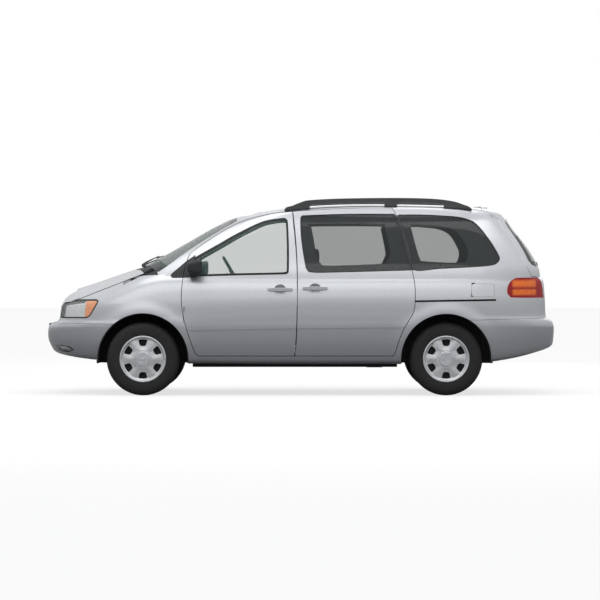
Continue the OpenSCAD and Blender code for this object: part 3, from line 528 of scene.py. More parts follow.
@dataclass
class Loft:
    """Closed solid through body lines, smooth between them.

    Attributes:
        lines: The lines, from the lowest to the highest.
        mid: X where nose and tail halves meet.
        crown: How much the middle of the lid rises over its edge.
        inset: How far all lines are moved inwards.
        drops: How far each line is moved down.
        between: Rings added between two lines.
        along: Pieces that each span of a line is drawn in.
    """

    lines: tuple[BodyLine, ...]
    mid: float
    crown: float
    inset: float = 0.0
    drops: tuple[float, ...] = ()
    between: int = 3
    along: int = 4

    def build(self, name: str) -> Piece:
        """Builds the closed mesh."""
        steps = (
            [i / 5 for i in range(5)] + [1 + i / 10 for i in range(10)] + [2 + i / 10 for i in range(10)]
            + [3 + i / 5 for i in range(6)]
        )
        drops = self.drops or (0.0,) * len(self.lines)
        rings: list[list[Vector]] = []
        for line, drop in zip(self.lines, drops):
            row = [Vector(line.point(self.mid, p, self.inset)) - Vector((0, 0, drop)) for p in steps]
            row += [Vector((v.x, -v.y, v.z)) for v in row[-2:0:-1]]
            rings.append(self._finer(row))
        rings = self._between(rings)
        n, m = len(rings[0]), len(rings)
        half = n // 2
        top, last = rings[-1], (m - 1) * n
        middle = [((top[i].x + top[n - i].x) / 2, top[i].y, top[i].z) for i in range(1, half)]
        points = [tuple(p) for ring in rings for p in ring]
        # The lid is drawn in strips, so that its crown is round
        index: list[list[int]] = [[last + i for i in range(half + 1)]]
        for share in (0.62, 0.3, 0.0, -0.3, -0.62):
            row_index = [last]
            for x, y, z in middle:
                row_index.append(len(points))
                points.append((x, y * share, z + self.crown * (1 - share * share)))
            index.append(row_index + [last + half])
        index.append([last] + [last + n - i for i in range(1, half)] + [last + half])
        faces: list[list[int]] = []
        for k in range(m - 1):
            for i in range(n):
                j = (i + 1) % n
                faces.append([k * n + i, k * n + j, (k + 1) * n + j, (k + 1) * n + i])
        for near, far in zip(index, index[1:]):
            for i in range(half):
                faces.append(list(dict.fromkeys([near[i], near[i + 1], far[i + 1], far[i]])))
        for i in range(half):
            faces.append(list(dict.fromkeys([i, (n - i) % n, n - i - 1, i + 1])))
        obj = new_object(name, points, faces)
        recalculate(obj)
        return obj

    def _finer(self, row: list[Vector]) -> list[Vector]:
        """Adds points between those of a closed ring."""
        n = len(row)
        return [
            span_point(row[i - 1], row[i], row[(i + 1) % n], row[(i + 2) % n], s / self.along, 0.36)
            for i in range(n)
            for s in range(self.along)
        ]

    def _between(self, rows: list[list[Vector]]) -> list[list[Vector]]:
        """Adds rings between the lines."""
        out: list[list[Vector]] = []
        for k in range(len(rows) - 1):
            a, b, c, d = rows[max(k - 1, 0)], rows[k], rows[k + 1], rows[min(k + 2, len(rows) - 1)]
            for s in range(self.between + 1):
                t = s / (self.between + 1)
                out.append([span_point(p, q, r, w, t) for p, q, r, w in zip(a, b, c, d)])
        out.append(rows[-1])
        return out


# ---------------------------------------------------------------- outlines seen from the left as [x, z]
B_LINE: Outline = [
    (-52, SILL_Z), (-40, 480), (-31, 640), (-27, 820), (-26, 1000), (-28, 1150), (-36, 1300), (-48, 1450),
    (-60, 1590), (-70, 1711),
]
A_LINE: Outline = [
    (-1022, 1318), (-1052, 1245), (-1080, 1130), (-1094, 1010), (-1099, 900), (-1090, 790), (-1057, 642),
    (-1013, 505), (-975, 405), (-945, SILL_Z),
]
DOOR_TOP: Outline = [
    (-1022, 1318), (-950, 1374), (-870, 1430), (-789, 1484), (-690, 1545), (-591, 1598), (-450, 1648),
    (-300, 1684), (-180, 1702), (-70, 1711),
]
SLIDE_TOP: Outline = [(-70, 1711), (150, 1727), (370, 1738), (620, 1744), (862, 1743)]
C_LINE: Outline = [
    (862, 1743), (898, 1670), (935, 1560), (972, 1450), (1008, 1310), (1040, 1160), (1062, 1040), (1067, 915),
    (1053, 780), (1000, 685), (948, 592), (910, 490), (882, 400), (862, SILL_Z),
]
WINDSCREEN_EDGE: Outline = [
    (-1310, 1150), (-1198, 1228), (-1080, 1318), (-950, 1408), (-789, 1507), (-680, 1572), (-588, 1624),
]
GUTTER: Outline = [
    (-588, 1624), (-450, 1668), (-300, 1702), (-68, 1728), (370, 1757), (930, 1759), (1500, 1740),
    (1700, 1712), (1826, 1680),
]
HOOD_EDGE: Outline = [
    (-2420, 866), (-2202, 872), (-2110, 888), (-2034, 910), (-1900, 962), (-1700, 1039), (-1540, 1103),
    (-1378, 1160), (-1250, 1196),
]
FRONT_DOOR: Outline = flow(A_LINE) + flow(B_LINE) + flow(DOOR_TOP)[::-1]
SLIDING_DOOR: Outline = flow(C_LINE)[::-1] + flow(SLIDE_TOP)[::-1] + flow(B_LINE)[::-1]
FRONT_WINDOW: Outline = flow(
    [
        (-985, 1103), (-560, 1115), (-160, 1124), (-118, 1134), (-103, 1170), (-103, 1400), (-112, 1600),
        (-124, 1638), (-160, 1651), (-300, 1632), (-405, 1596), (-603, 1497), (-764, 1404), (-950, 1299),
        (-985, 1277),
    ]
)
SLIDING_WINDOW: Outline = (
    flow([(880, 1690), (450, 1690), (60, 1677), (16, 1668), (2, 1640), (6, 1500), (22, 1360), (44, 1230)]
         + [(62, 1170), (120, 1140), (400, 1143), (1020, 1160)])
    + flow([(1029, 1162), (998, 1310), (960, 1450), (923, 1560), (886, 1672)])
)
QUARTER_WINDOW: Outline = flow(
    [
        (916, 1683), (1100, 1684), (1301, 1676), (1460, 1664), (1560, 1642), (1650, 1592), (1771, 1437),
        (1845, 1310), (1856, 1268), (1838, 1235), (1780, 1207), (1600, 1190), (1301, 1175), (1056, 1163),
        (1026, 1310), (990, 1450), (953, 1560),
    ]
)
SLIDING_CLEAR: Outline = flow(
    [
        (103, 1575), (122, 1594), (763, 1594), (791, 1566), (837, 1350), (833, 1300), (800, 1232),
        (782, 1224), (268, 1206), (190, 1232), (158, 1280), (124, 1470),
    ]
)
QUARTER_CLEAR: Outline = flow(
    [
        (1026, 1592), (1180, 1586), (1355, 1566), (1466, 1510), (1548, 1380), (1560, 1310), (1540, 1250),
        (1485, 1232), (1160, 1246), (1110, 1278), (1062, 1440),
    ]
)
HEADLAMP: Outline = [
    (-2450, 716), (-1997, 716), (-1970, 724), (-1948, 741), (-1905, 812), (-1873, 871), (-1876, 886),
    (-1898, 894), (-2060, 892), (-2134, 880), (-2215, 860), (-2450, 858),
]
TAIL_LAMP: Outline = flow(
    [
        (2450, 908), (2000, 908), (1945, 922), (1920, 962), (1935, 1035), (1985, 1082), (2060, 1094),
        (2450, 1096),
    ]
)
FRONT_BUMPER: Outline = [(-2450, 200), (-2450, 668), (-2150, 668), (-1900, 664), (-1600, 660), (-1600, 200)]
REAR_BUMPER: Outline = [
    (1560, 200), (1560, 700), (1640, 700), (1900, 708), (2260, 716), (2450, 716), (2450, 200),
]
FENDER: Outline = (
    [(-2600, 668), (-2600, 900)]
    + flow(HOOD_EDGE)
    + [
        (-1250, 1500), (-1100, 1500), (-1085, 1112), (-1094, 1010), (-1099, 900), (-1090, 790), (-1057, 642),
        (-1013, 505), (-985, 420),
    ]
    + [(-985, 200), (-1600, 200), (-1600, 660), (-1900, 664), (-2150, 668)]
)
POST_FOOT: Outline = [(-1330, 1156), (-1060, 1106), (-1060, 1700), (-1330, 1700)]
# Seen from behind as [y, z], one half from the roof down
GATE_HALF: Outline = [
    (604, 1830), (604, 1640), (640, 1560), (700, 1400), (742, 1260), (752, 1180), (735, 1110), (668, 1102),
    (655, 1080), (652, 900), (646, 760), (600, 728),
]
GATE_GLASS_HALF: Outline = [
    (520, 1640), (560, 1610), (610, 1500), (660, 1380), (700, 1255), (690, 1215), (650, 1198),
]
HOOD_REAR: Outline = flow([(-1556, 0), (-1546, -300), (-1512, -540), (-1462, -700), (-1392, -830)])
DOOR_AXIS: Point = (-1074, -913)
DOOR_HINGES = (686, 800)
GATE_AXIS: Point = (1699, 1757)
FUEL_PIN: Point3 = (1604, -889, 978)


def side(points: Outline, near: float = -1300, far: float = 0) -> Piece:
    """Solid that an outline seen from the side cuts through the left half, or through the full width."""
    return prism(points, near, far, "Y")


def behind(half: Outline, by: float = 0.0, start: float = 1500, end: float = 2700) -> Piece:
    """Solid that a half outline seen from behind cuts through the tail, moved outwards by a distance."""
    return prism(grow(half + [(-y, z) for y, z in reversed(half)], by), start, end, "X")


def both_sides(tool: Piece) -> Piece:
    """Joins a tool on the left with its mirrored copy on the right."""
    return join("tool", [tool, mirrored(tool, "tool")])


def cylinder_y(x: float, z: float, r: float, near: float, far: float, steps: int = 128) -> Piece:
    """Round tool that lies across the vehicle."""
    ring = [
        (x + r * math.cos(2 * math.pi * i / steps), z + r * math.sin(2 * math.pi * i / steps))
        for i in range(steps)
    ]
    return prism(ring, near, far, "Y")


def fan(profile: Outline, centre: Point, low: float, high: float, steps: int = 60) -> Piece:
    """Closed sector that a profile sweeps about an upright axis.

    Args:
        profile: Outline as [radius, z].
        centre: Where the axis stands, as [x, y].
        low: Angle where the sector starts, in degrees from +X.
        high: Angle where it ends.
        steps: Pieces between the two.

    Returns:
        The sector.
    """
    n = len(profile)
    points: list[Point3] = []
    for s in range(steps + 1):
        a = math.radians(low + (high - low) * s / steps)
        points += [(centre[0] + r * math.cos(a), centre[1] + r * math.sin(a), z) for r, z in profile]
    return tube("tool", points, n)


def moved(obj: Piece, x: float = 0, y: float = 0, z: float = 0) -> Piece:
    """Moves a mesh by a distance in millimetres."""
    obj.data.transform(Matrix.Translation((x * MM, y * MM, z * MM)))
    return obj


@dataclass
class BodyTools:
    """Solids that the painted panels are cut out of and cut with.

    Attributes:
        flare: How far the wheel arches stand proud of the side.
        flare_reach: Radius where a flare has run out.
    """

    flare: float = 9.0
    flare_reach: float = 540.0
    cache: dict[str, Piece] = field(default_factory=dict)

    def keep(self, name: str, make: Callable[[], Piece]) -> Piece:
        """Makes a tool once and keeps it."""
        if name not in self.cache:
            self.cache[name] = make()
            self.cache[name].name = "tool_" + name
        return self.cache[name]

    def clear(self) -> None:
        """Removes all tools."""
        discard(*self.cache.values())
        self.cache.clear()

    def _flared(self, obj: Piece) -> Piece:
        """Draws the sides out round the wheels and keeps them in the vehicle's length and width."""
        for v in obj.data.vertices:
            x, y, z = v.co / MM
            if abs(y) > 700 and z < 1000:
                for centre in (X_FRONT, X_REAR):
                    r = math.hypot(x - centre, z - HUB_Z)
                    t = max(0.0, min(1.0, (self.flare_reach - r) / (self.flare_reach - ARCH_R - 14)))
                    y += math.copysign(self.flare * t * t * (3 - 2 * t), y)
            v.co = Vector((max(-HALF_LEN, min(HALF_LEN, x)), y, z)) * MM
        return obj

    def lower(self, inset: float, top: float = 0, bottom: float = 0) -> Piece:
        """Lower body, from the sills to the window line, moved inwards by a distance."""
        drops = tuple(-bottom if k < 2 else top if k > 6 else 0.0 for k in range(len(LOWER)))
        fine = inset < 30
        obj = Loft(LOWER, 0, 22, inset, drops, 6 if fine else 0, 5 if fine else 1).build("lower")
        return self._flared(obj) if fine else obj

    def upper(self, inset: float, top: float = 0) -> Piece:
        """Cabin above the window line, moved inwards by a distance."""
        drops = tuple(top if k > 4 else 0.0 for k in range(len(UPPER)))
        fine = inset < 30
        return Loft(UPPER, 400, 10, inset, drops, 4 if fine else 0, 4 if fine else 1).build("upper")

    def solid(
        self, inset: float, top: float | None = None, bottom: float | None = None,
        cabin_top: float | None = None,
    ) -> Piece:
        """Whole body as one solid, moved inwards by a distance."""
        top = inset if top is None else top
        bottom = inset if bottom is None else bottom
        cabin_top = inset if cabin_top is None else cabin_top
        return boolean(self.lower(inset, top, bottom), self.upper(inset, cabin_top), Cut.ADD)

    def skin(self, near: float, far: float) -> Piece:
        """Copy of the body's skin between two depths under its surface."""

        def make() -> Piece:
            outer = copy_of(self.keep("solid_%g" % near, lambda: self.solid(near)), "skin")
            return boolean(
                outer, self.keep("solid_%g" % far, lambda: self.solid(far)), Cut.AWAY, keep_tool=True,
            )

        return copy_of(self.keep("skin_%g_%g" % (near, far), make), "skin")

    def shell(self) -> Piece:
        """Copy of the body's wall, open underneath."""

        def make() -> Piece:
            outer = copy_of(self.keep("solid_0", lambda: self.solid(0)), "shell")
            return boolean(outer, self.solid(WALL, 42, -60, 40), Cut.AWAY)

        return copy_of(self.keep("shell", make), "shell")

    def ahead_of_cowl(self, by: float) -> Piece:
        """Everything ahead of the hood's rear edge."""
        edge = (
            [(-3000, -1100), (-1392, -1100)] + HOOD_REAR[::-1] + [(x, -y) for x, y in HOOD_REAR[1:]]
            + [(-1392, 1100), (-3000, 1100)]
        )
        return prism([(x + by, y) for x, y in edge], 600, 2000, "Z")

    def hood_zone(self, by: float) -> Piece:
        """Room of the hood, its shut line moved by a distance."""
        edge = flow(HOOD_EDGE) + [(-1100, 1500), (-2600, 1500), (-2600, 866)]
        return boolean(moved(side(edge, *ACROSS), z=by), self.ahead_of_cowl(-by), Cut.KEEP)

    def zone(self, name: str) -> Piece:
        """Tool of a panel, made once.

        Args:
            name: Which tool.

        Returns:
            The kept tool.
        """
        makers: dict[str, Callable[[], Piece]] = {
            "hood": lambda: self.hood_zone(0),
            "hood_gap": lambda: self.hood_zone(-GAP),
            "windscreen": lambda: boolean(
                side(flow(WINDSCREEN_EDGE) + [(-628, 1840), (-1800, 1840), (-1800, 1060)], *ACROSS),
                self.ahead_of_cowl(84), Cut.AWAY,
            ),
            "cowl": lambda: boolean(
                boolean(
                    side(
                        [(-1700, 1100), (-1310, 1120), (-1080, 1318), (-1080, 1420), (-1700, 1420)], *ACROSS,
                    ),
                    self.ahead_of_cowl(84), Cut.KEEP,
                ),
                self.zone("hood_gap"),
                Cut.AWAY,
                keep_tool=True,
            ),
            "roof": lambda: side(flow(GUTTER) + [(1826, 1900), (-628, 1900)], *ACROSS),
            "gate": lambda: self.gate_zone(0),
            "gate_gap": lambda: self.gate_zone(GAP),
            "head": lambda: both_sides(side(HEADLAMP, -1300, -HEADLAMP_IN)),
            "tail": lambda: boolean(
                both_sides(side(TAIL_LAMP, -1300, -640)), block((1800, -1300, 800), (2700, 1300, 1200)),
                Cut.KEEP,
            ),
            "doors": lambda: both_sides(
                boolean(
                    side(grow(FRONT_DOOR, GAP / 2), -1300, GAP / 2 - DOOR_IN),
                    side(grow(SLIDING_DOOR, GAP / 2), -1300, GAP / 2 - DOOR_IN), Cut.ADD,
                )
            ),
            "arches": lambda: join(
                "tool",
                [
                    both_sides(cylinder_y(X_FRONT, HUB_Z, ARCH_R, -1492, -492)),
                    both_sides(cylinder_y(X_REAR, HUB_Z, ARCH_R - 4, -1492, -640)),
                ],
            ),
            "floor": lambda: block((-1900, -700, 200), (1800, 700, 390)),
            "swing": lambda: self.swing_zone(0),
            "swing_gap": lambda: self.swing_zone(GAP - 0.5),
        }
        return self.keep(name, makers[name])

    def gate_zone(self, by: float) -> Piece:
        """Room of the liftgate, its shut line moved by a distance."""
        depth = [(1702, 1900), (1702, 1640), (1790, 1560), (2100, 700), (2600, 700), (2600, 1900)]
        return boolean(behind(GATE_HALF, by), side(grow(depth, by), *ACROSS), Cut.KEEP)

    def swing_zone(self, by: float) -> Piece:
        """Everything that the front door's rear edge passes through as it swings."""
        edge = [
            (1023, 200), (1023, 368), (1036, 480), (1044, 640), (1049, 1000), (1048, 1150), (1044, 1300),
            (1038, 1450), (1033, 1590), (1028, 1711), (1028, 1800),
        ]
        return fan([(300, 200)] + [(r + by, z) for r, z in edge] + [(300, 1800)], DOOR_AXIS, -60, 60, 180)


def carve(obj: Piece, *tools: Piece) -> Piece:
    """Cuts kept tools away from a mesh, one after the other."""
    for tool in tools:
        boolean(obj, tool, Cut.AWAY, keep_tool=True)
    return obj


def within(obj: Piece, *tools: Piece) -> Piece:
    """Keeps what of a mesh lies in each of these tools, and removes them."""
    for tool in tools:
        boolean(obj, tool, Cut.KEEP)
    return obj


def without(obj: Piece, *tools: Piece) -> Piece:
    """Cuts these tools away from a mesh, and removes them."""
    for tool in tools:
        boolean(obj, tool, Cut.AWAY)
    return obj


def smooth(obj: Piece, angle: float = 30.0, weighted: bool = True) -> Piece:
    """Shades a finished mesh smooth up to an angle, in degrees."""
    activate(obj)
    bpy.ops.object.shade_smooth_by_angle(angle=math.radians(angle))
    if weighted:
        apply_modifier(obj, "WEIGHTED_NORMAL", keep_sharp=True, weight=50)
    return obj


def dress(
    obj: Piece, name: str, body: str, finish: "Finish", slot: str, replaces: Iterable[str] = (),
) -> Piece:
    """Gives a finished piece its name, material and body.

    Args:
        obj: The finished piece.
        name: The piece's name.
        body: The body that it rides on.
        finish: What it is made of.
        slot: Material slot of the record; not used.
        replaces: CAD nodes that it stands for.

    Returns:
        The piece.
    """
    obj.name = name
    obj.data.name = name
    obj.data.materials.clear()
    obj.data.materials.append(finish.material())
    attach(obj, body)
    nodes = list(replaces)
    if nodes:
        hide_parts(*nodes)
    LOG.info("%s on %s, %d faces", name, body, len(obj.data.polygons))
    return obj


ENDS = ("_left", "_right")
ON_BODY = ("body", "body")
ON_DOORS = ("front_door_left", "front_door_right")


def dress_pair(
    left: Piece,
    name: str,
    bodies: tuple[str, str],
    finish: "Finish",
    slot: str,
    node: str = "",
    angle: float = 30.0,
    weighted: bool = True,
) -> None:
    """Finishes a left piece and its mirrored copy on the right.

    Args:
        left: The left piece.
        name: Name of both, less its ending.
        bodies: Bodies of the left and the right one.
        finish: What they are made of.
        slot: Material slot of the record.
        node: CAD nodes that they stand for, less the ending.
        angle: Angle up to which they are shaded smooth, in degrees.
        weighted: True to weigh the normals by the size of the faces.
    """
    right = mirrored(left, "right")
    for obj, end, body in zip((left, right), ENDS, bodies):
        dress(smooth(obj, angle, weighted), name + end, body, finish, slot, (node + end,) if node else ())


def dress_whole(
    left: Piece,
    name: str,
    finish: "Finish",
    slot: str,
    nodes: Iterable[str] = (),
    angle: float = 30.0,
    weighted: bool = False,
) -> None:
    """Finishes a left piece and its mirrored copy as one piece on the body.

    Args:
        left: The left piece.
        name: Name of the whole.
        finish: What it is made of.
        slot: Material slot of the record.
        nodes: CAD nodes that it stands for.
        angle: Angle up to which it is shaded smooth, in degrees.
        weighted: True to weigh the normals by the size of the faces.
    """
    whole = join(name, [left, mirrored(left, "right")])
    dress(smooth(whole, angle, weighted), name, "body", finish, slot, nodes)


@dataclass
class Panels:
    """The painted panels of the body."""

    tools: BodyTools

    def build(self) -> None:
        """Builds all panels."""
        self.hood()
        self.cowl()
        self.fenders()
        self.body_sides()
        self.roof()
        self.bumpers()
        self.front_doors()
        self.sliding_doors()
        self.liftgate()

    def hood(self) -> None:
        """Hood, with its underside."""
        t = self.tools
        obj = boolean(t.skin(0, 40), t.zone("hood"), Cut.KEEP, keep_tool=True)
        obj = without(obj, both_sides(block((-1500, -751, 1020), (-1340, -719, 1300))))
        dress(smooth(obj), "hood_panel", "hood", PAINT, "paint", ("hood",))

    def hood_room(self) -> Piece:
        """Room for the hood's arms."""
        return both_sides(block((-1646, -767, 950), (-1342, -703, 1240)))

    def cowl(self) -> None:
        """Black cowl below the windscreen."""
        t = self.tools
        obj = boolean(t.shell(), t.zone("cowl"), Cut.KEEP, keep_tool=True)
        dress(
            smooth(without(obj, self.hood_room())), "cowl_panel", "body", BLACK_PLASTIC, "black_plastic",
            ("cowl",),
        )

    def pin_room(self, z: float) -> Piece:
        """Room round the barrel of one door hinge."""
        ring = [
            (
                DOOR_AXIS[0] + 10.5 * math.cos(a * math.pi / 16),
                DOOR_AXIS[1] + 10.5 * math.sin(a * math.pi / 16),
            )
            for a in range(32)
        ]
        return prism(ring, z - 20, z + 20, "Z")

    def door_room(self) -> Piece:
        """Room in the fender for the front edge of the door and its hinges."""
        x, y = DOOR_AXIS
        ring = [(x + 13 * math.cos(a * math.pi / 20), y + 13 * math.sin(a * math.pi / 20)) for a in range(40)]
        parts = [prism(ring, 664, 774, "Z")]
        for z in DOOR_HINGES:
            parts += [
                block((x - 112, y + 42.7, z - 24.3), (x + 12.3, y + 76.7, z + 24.3)),
                block((x - 14, y + 10, z - 23), (x + 14, y + 60, z + 23)), self.pin_room(z),
            ]
        out = parts[0]
        for part in parts[1:]:
            out = boolean(out, part, Cut.ADD)
        return out

    def fenders(self) -> None:
        """Front fenders."""
        t = self.tools
        obj = within(t.shell(), side(FENDER, -1300, -480))
        obj = without(obj, side(POST_FOOT), side(grow(FRONT_BUMPER, 3)), self.door_room(), self.hood_room())
        obj = carve(
            obj, *(t.zone(n) for n in ("hood_gap", "head", "cowl", "windscreen", "arches", "doors", "floor")),
        )
        dress_pair(obj, "fender", ON_BODY, PAINT, "paint", "front_fender")

    def post(self) -> Piece:
        """Post behind the joint of the front and sliding doors."""
        t = self.tools
        outer = boolean(t.lower(WALL - 8, 42, 20), t.upper(WALL - 8, 40), Cut.ADD)
        inner = boolean(t.lower(WALL + 46, 84, -120), t.upper(WALL + 46, 84), Cut.ADD)
        cover = boolean(t.lower(0, 0, 0), t.upper(0, 0), Cut.ADD)
        core = boolean(t.lower(WALL + GAP, 42 + GAP, 20), t.upper(WALL + GAP, 40 + GAP), Cut.ADD)
        cover = without(cover, core, block((-200, -1300, 200), (200, 0, SILL_Z - GAP / 2)))
        zone = side(
            [(-110, 300), (-90, 900), (-95, 1300), (-140, 1745), (10, 1745), (40, 1300), (48, 900), (10, 300)]
        )
        return within(without(outer, inner), without(zone, cover))

    def body_sides(self) -> None:
        """Body sides with the sills, the window posts and the rear quarters."""
        t = self.tools
        wall = within(t.shell(), block((-3000, -1500, -100), (3000, 0, 2100)))
        # The roof alone spans the cabin, so the sides stop short of its middle
        wall = without(wall, block((-3000, -560, 1000), (3000, 20, 2100)))
        wall = boolean(wall, self.post(), Cut.ADD)
        wall = without(
            wall, without(side(FENDER, -1300, 0), side(POST_FOOT)),
            block((-3000, -1300, 0), (-1085, 0, 1100)), side(grow(FRONT_BUMPER, 3)),
            side(grow(REAR_BUMPER, 3)), self.door_room(),
        )
        wall = carve(
            wall,
            *(
                t.zone(n)
                for n in (
                    "windscreen", "roof", "cowl", "hood_gap", "gate_gap", "doors", "tail", "arches", "floor",
                )
            ),
        )
        wall = without(wall, side(QUARTER_WINDOW), without(side(TRACK), t.solid(16, 16, 16)))
        right = mirrored(wall, "right")
        pin_room = cylinder_y(0, 0, 25, -66, 66, 48)
        turn = Matrix.Rotation(math.radians(4.3), 4, "Z") @ Matrix.Rotation(math.radians(90 - 12), 4, "X")
        pin_room.data.transform(Matrix.Translation(Vector(FUEL_PIN) * MM) @ turn)
        wall = without(wall, side(rounded(1587, 916, 1802, 1038, 26), -1300, -700), pin_room)
        for obj, end in zip((wall, right), ENDS):
            dress(smooth(obj), "side" + end, "body", PAINT, "paint", ("body_side" + end,))

    def roof(self) -> None:
        """Roof with a ditch on each side for the rails."""
        t = self.tools
        obj = boolean(t.shell(), t.zone("roof"), Cut.KEEP, keep_tool=True)
        obj = carve(obj, t.zone("windscreen"), t.zone("gate_gap"))
        obj = without(obj, both_sides(block((1638.7, -330.3, 1740.7), (1728.7, -269.7, 1800.7))))
        dress(smooth(obj), "roof_skin", "body", PAINT, "paint", ("roof_panel",))

    def bumpers(self) -> None:
        """Front and rear bumpers."""
        t = self.tools
        front = within(t.shell(), side(FRONT_BUMPER, *ACROSS))
        front = carve(front, t.zone("arches"), t.zone("floor"))
        front = without(
            front, block((-HALF_LEN - 5, -152.3, 521.7), (-HALF_LEN + 9.3, 152.3, 662.3)),
            both_sides(FogLamps().opening()), block((-2450, -330, 418), (-2300, 330, 486)),
        )
        dress(smooth(front), "bumper_front", "body", BUMPER_PAINT, "bumper_paint", ("front_bumper",))
        rear = within(t.shell(), side(REAR_BUMPER, *ACROSS))
        rear = carve(rear, t.zone("arches"), t.zone("floor"), t.zone("gate_gap"))
        dress(smooth(rear), "bumper_rear", "body", BUMPER_PAINT, "bumper_paint", ("rear_bumper",))

    def front_doors(self) -> None:
        """Front doors, each with its handle's cup."""
        t = self.tools
        obj = within(t.shell(), side(grow(FRONT_DOOR, -GAP / 2), -1300, -DOOR_IN - GAP / 2))
        rear_edge = boolean(
            side([(-300, 200), (-300, 1800), (100, 1800), (100, 200)]), t.zone("swing"), Cut.AWAY,
            keep_tool=True,
        )
        obj = without(obj, rear_edge, side(FRONT_WINDOW), Handles.cup(FRONT_HANDLE))
        x, y = DOOR_AXIS
        for z in DOOR_HINGES:
            obj = without(
                obj, block((x - 60, y + 10, z - 27), (x + 14, y + 90, z + 27)),
                block((x, y - 3.3, z - 8.8), (x + 70.3, y + 9.3, z + 8.8)), self.pin_room(z),
            )
        obj = carve(obj, t.zone("arches"))
        dress_pair(obj, "door_front", ON_DOORS, PAINT, "paint", "front_door")

    def sliding_doors(self) -> None:
        """Sliding doors, each with its handle's cup."""
        t = self.tools
        obj = within(t.shell(), side(grow(SLIDING_DOOR, -GAP / 2), -1300, -DOOR_IN - GAP / 2))
        obj = without(obj, side(SLIDING_WINDOW), Handles.cup(SLIDE_HANDLE))
        obj = carve(obj, t.zone("swing_gap"), t.zone("arches"))
        dress_pair(obj, "door_sliding", ON_BODY, PAINT, "paint", "sliding_door")

    def liftgate(self) -> None:
        """Liftgate with its window opening and the recess of its plate."""
        t = self.tools
        obj = boolean(t.shell(), t.zone("gate"), Cut.KEEP, keep_tool=True)
        for angle in (1, 3, 5, 8, 11, 15, 19, 24, 30, 38):
            # What the gate's inner edges would strike as it swings up, turned back to the closed gate
            ring = without(
                block((1500, -1000, 700), (2600, 1000, 1900)), behind(GATE_HALF, 1, 1490, 2700),
                block((1490, -590, 600), (2610, 590, 1910)),
            )
            ring = boolean(ring, t.keep("solid_0", lambda: t.solid(0)), Cut.KEEP, keep_tool=True)
            pivot = Vector((GATE_AXIS[0], 0, GATE_AXIS[1])) * MM
            ring.data.transform(
                Matrix.Translation(pivot) @ Matrix.Rotation(math.radians(angle), 4, "Y")
                @ Matrix.Translation(-pivot)
            )
            obj = without(obj, ring)
        obj = without(
            obj, behind(GATE_GLASS_HALF), block((1500, -1000, 0), (2500, 1000, 722)),
            block((2296.7, -152.3, 767.7), (2336.7, 152.3, 908.3)),
        )
        rooms = both_sides(
            boolean(
                block((1669, -336, 1727), (1719, -264, 1807)),
                block((1699, -312.3, 1745.7), (1771.3, -287.7, 1805.7)), Cut.ADD,
            )
        )
        obj = without(obj, rooms)
        dress(smooth(obj), "gate_panel", "liftgate", PAINT, "paint", ("liftgate",))


# ---------------------------------------------------------------- finishes
def colour(code: str) -> tuple[float, float, float, float]:
    """Turns an sRGB hex colour to linear RGBA."""
    parts = [int(code[i : i + 2], 16) / 255 for i in (1, 3, 5)]
    r, g, b = (p / 12.92 if p <= 0.04045 else ((p + 0.055) / 1.055) ** 2.4 for p in parts)
    return r, g, b, 1.0


def add(tree: Tree, kind: str, inputs: dict[str | int, Any] | None = None, **settings: Any) -> bpy.types.Node:
    """Adds a node with its settings and links.

    Args:
        tree: The material's node tree.
        kind: Blender's node type.
        inputs: Value or output socket for each input.
        **settings: Attributes of the node.

    Returns:
        The node.
    """
    node = tree.nodes.new(kind)
    for key, value in settings.items():
        setattr(node, key, value)
    for key, value in (inputs or {}).items():
        if isinstance(value, Socket):
            tree.links.new(value, node.inputs[key])
        else:
            node.inputs[key].default_value = value
    return node


def ramp(tree: Tree, source: Socket, stops: Sequence[tuple[float, str]]) -> Socket:
    """Colour ramp with hex colours at its stops."""
    node = add(tree, "ShaderNodeValToRGB", {0: source})
    line = node.color_ramp
    while len(line.elements) < len(stops):
        line.elements.new(0.5)
    for element, (place, code) in zip(line.elements, stops):
        element.position = place
        element.color = colour(code)
    return node.outputs[0]


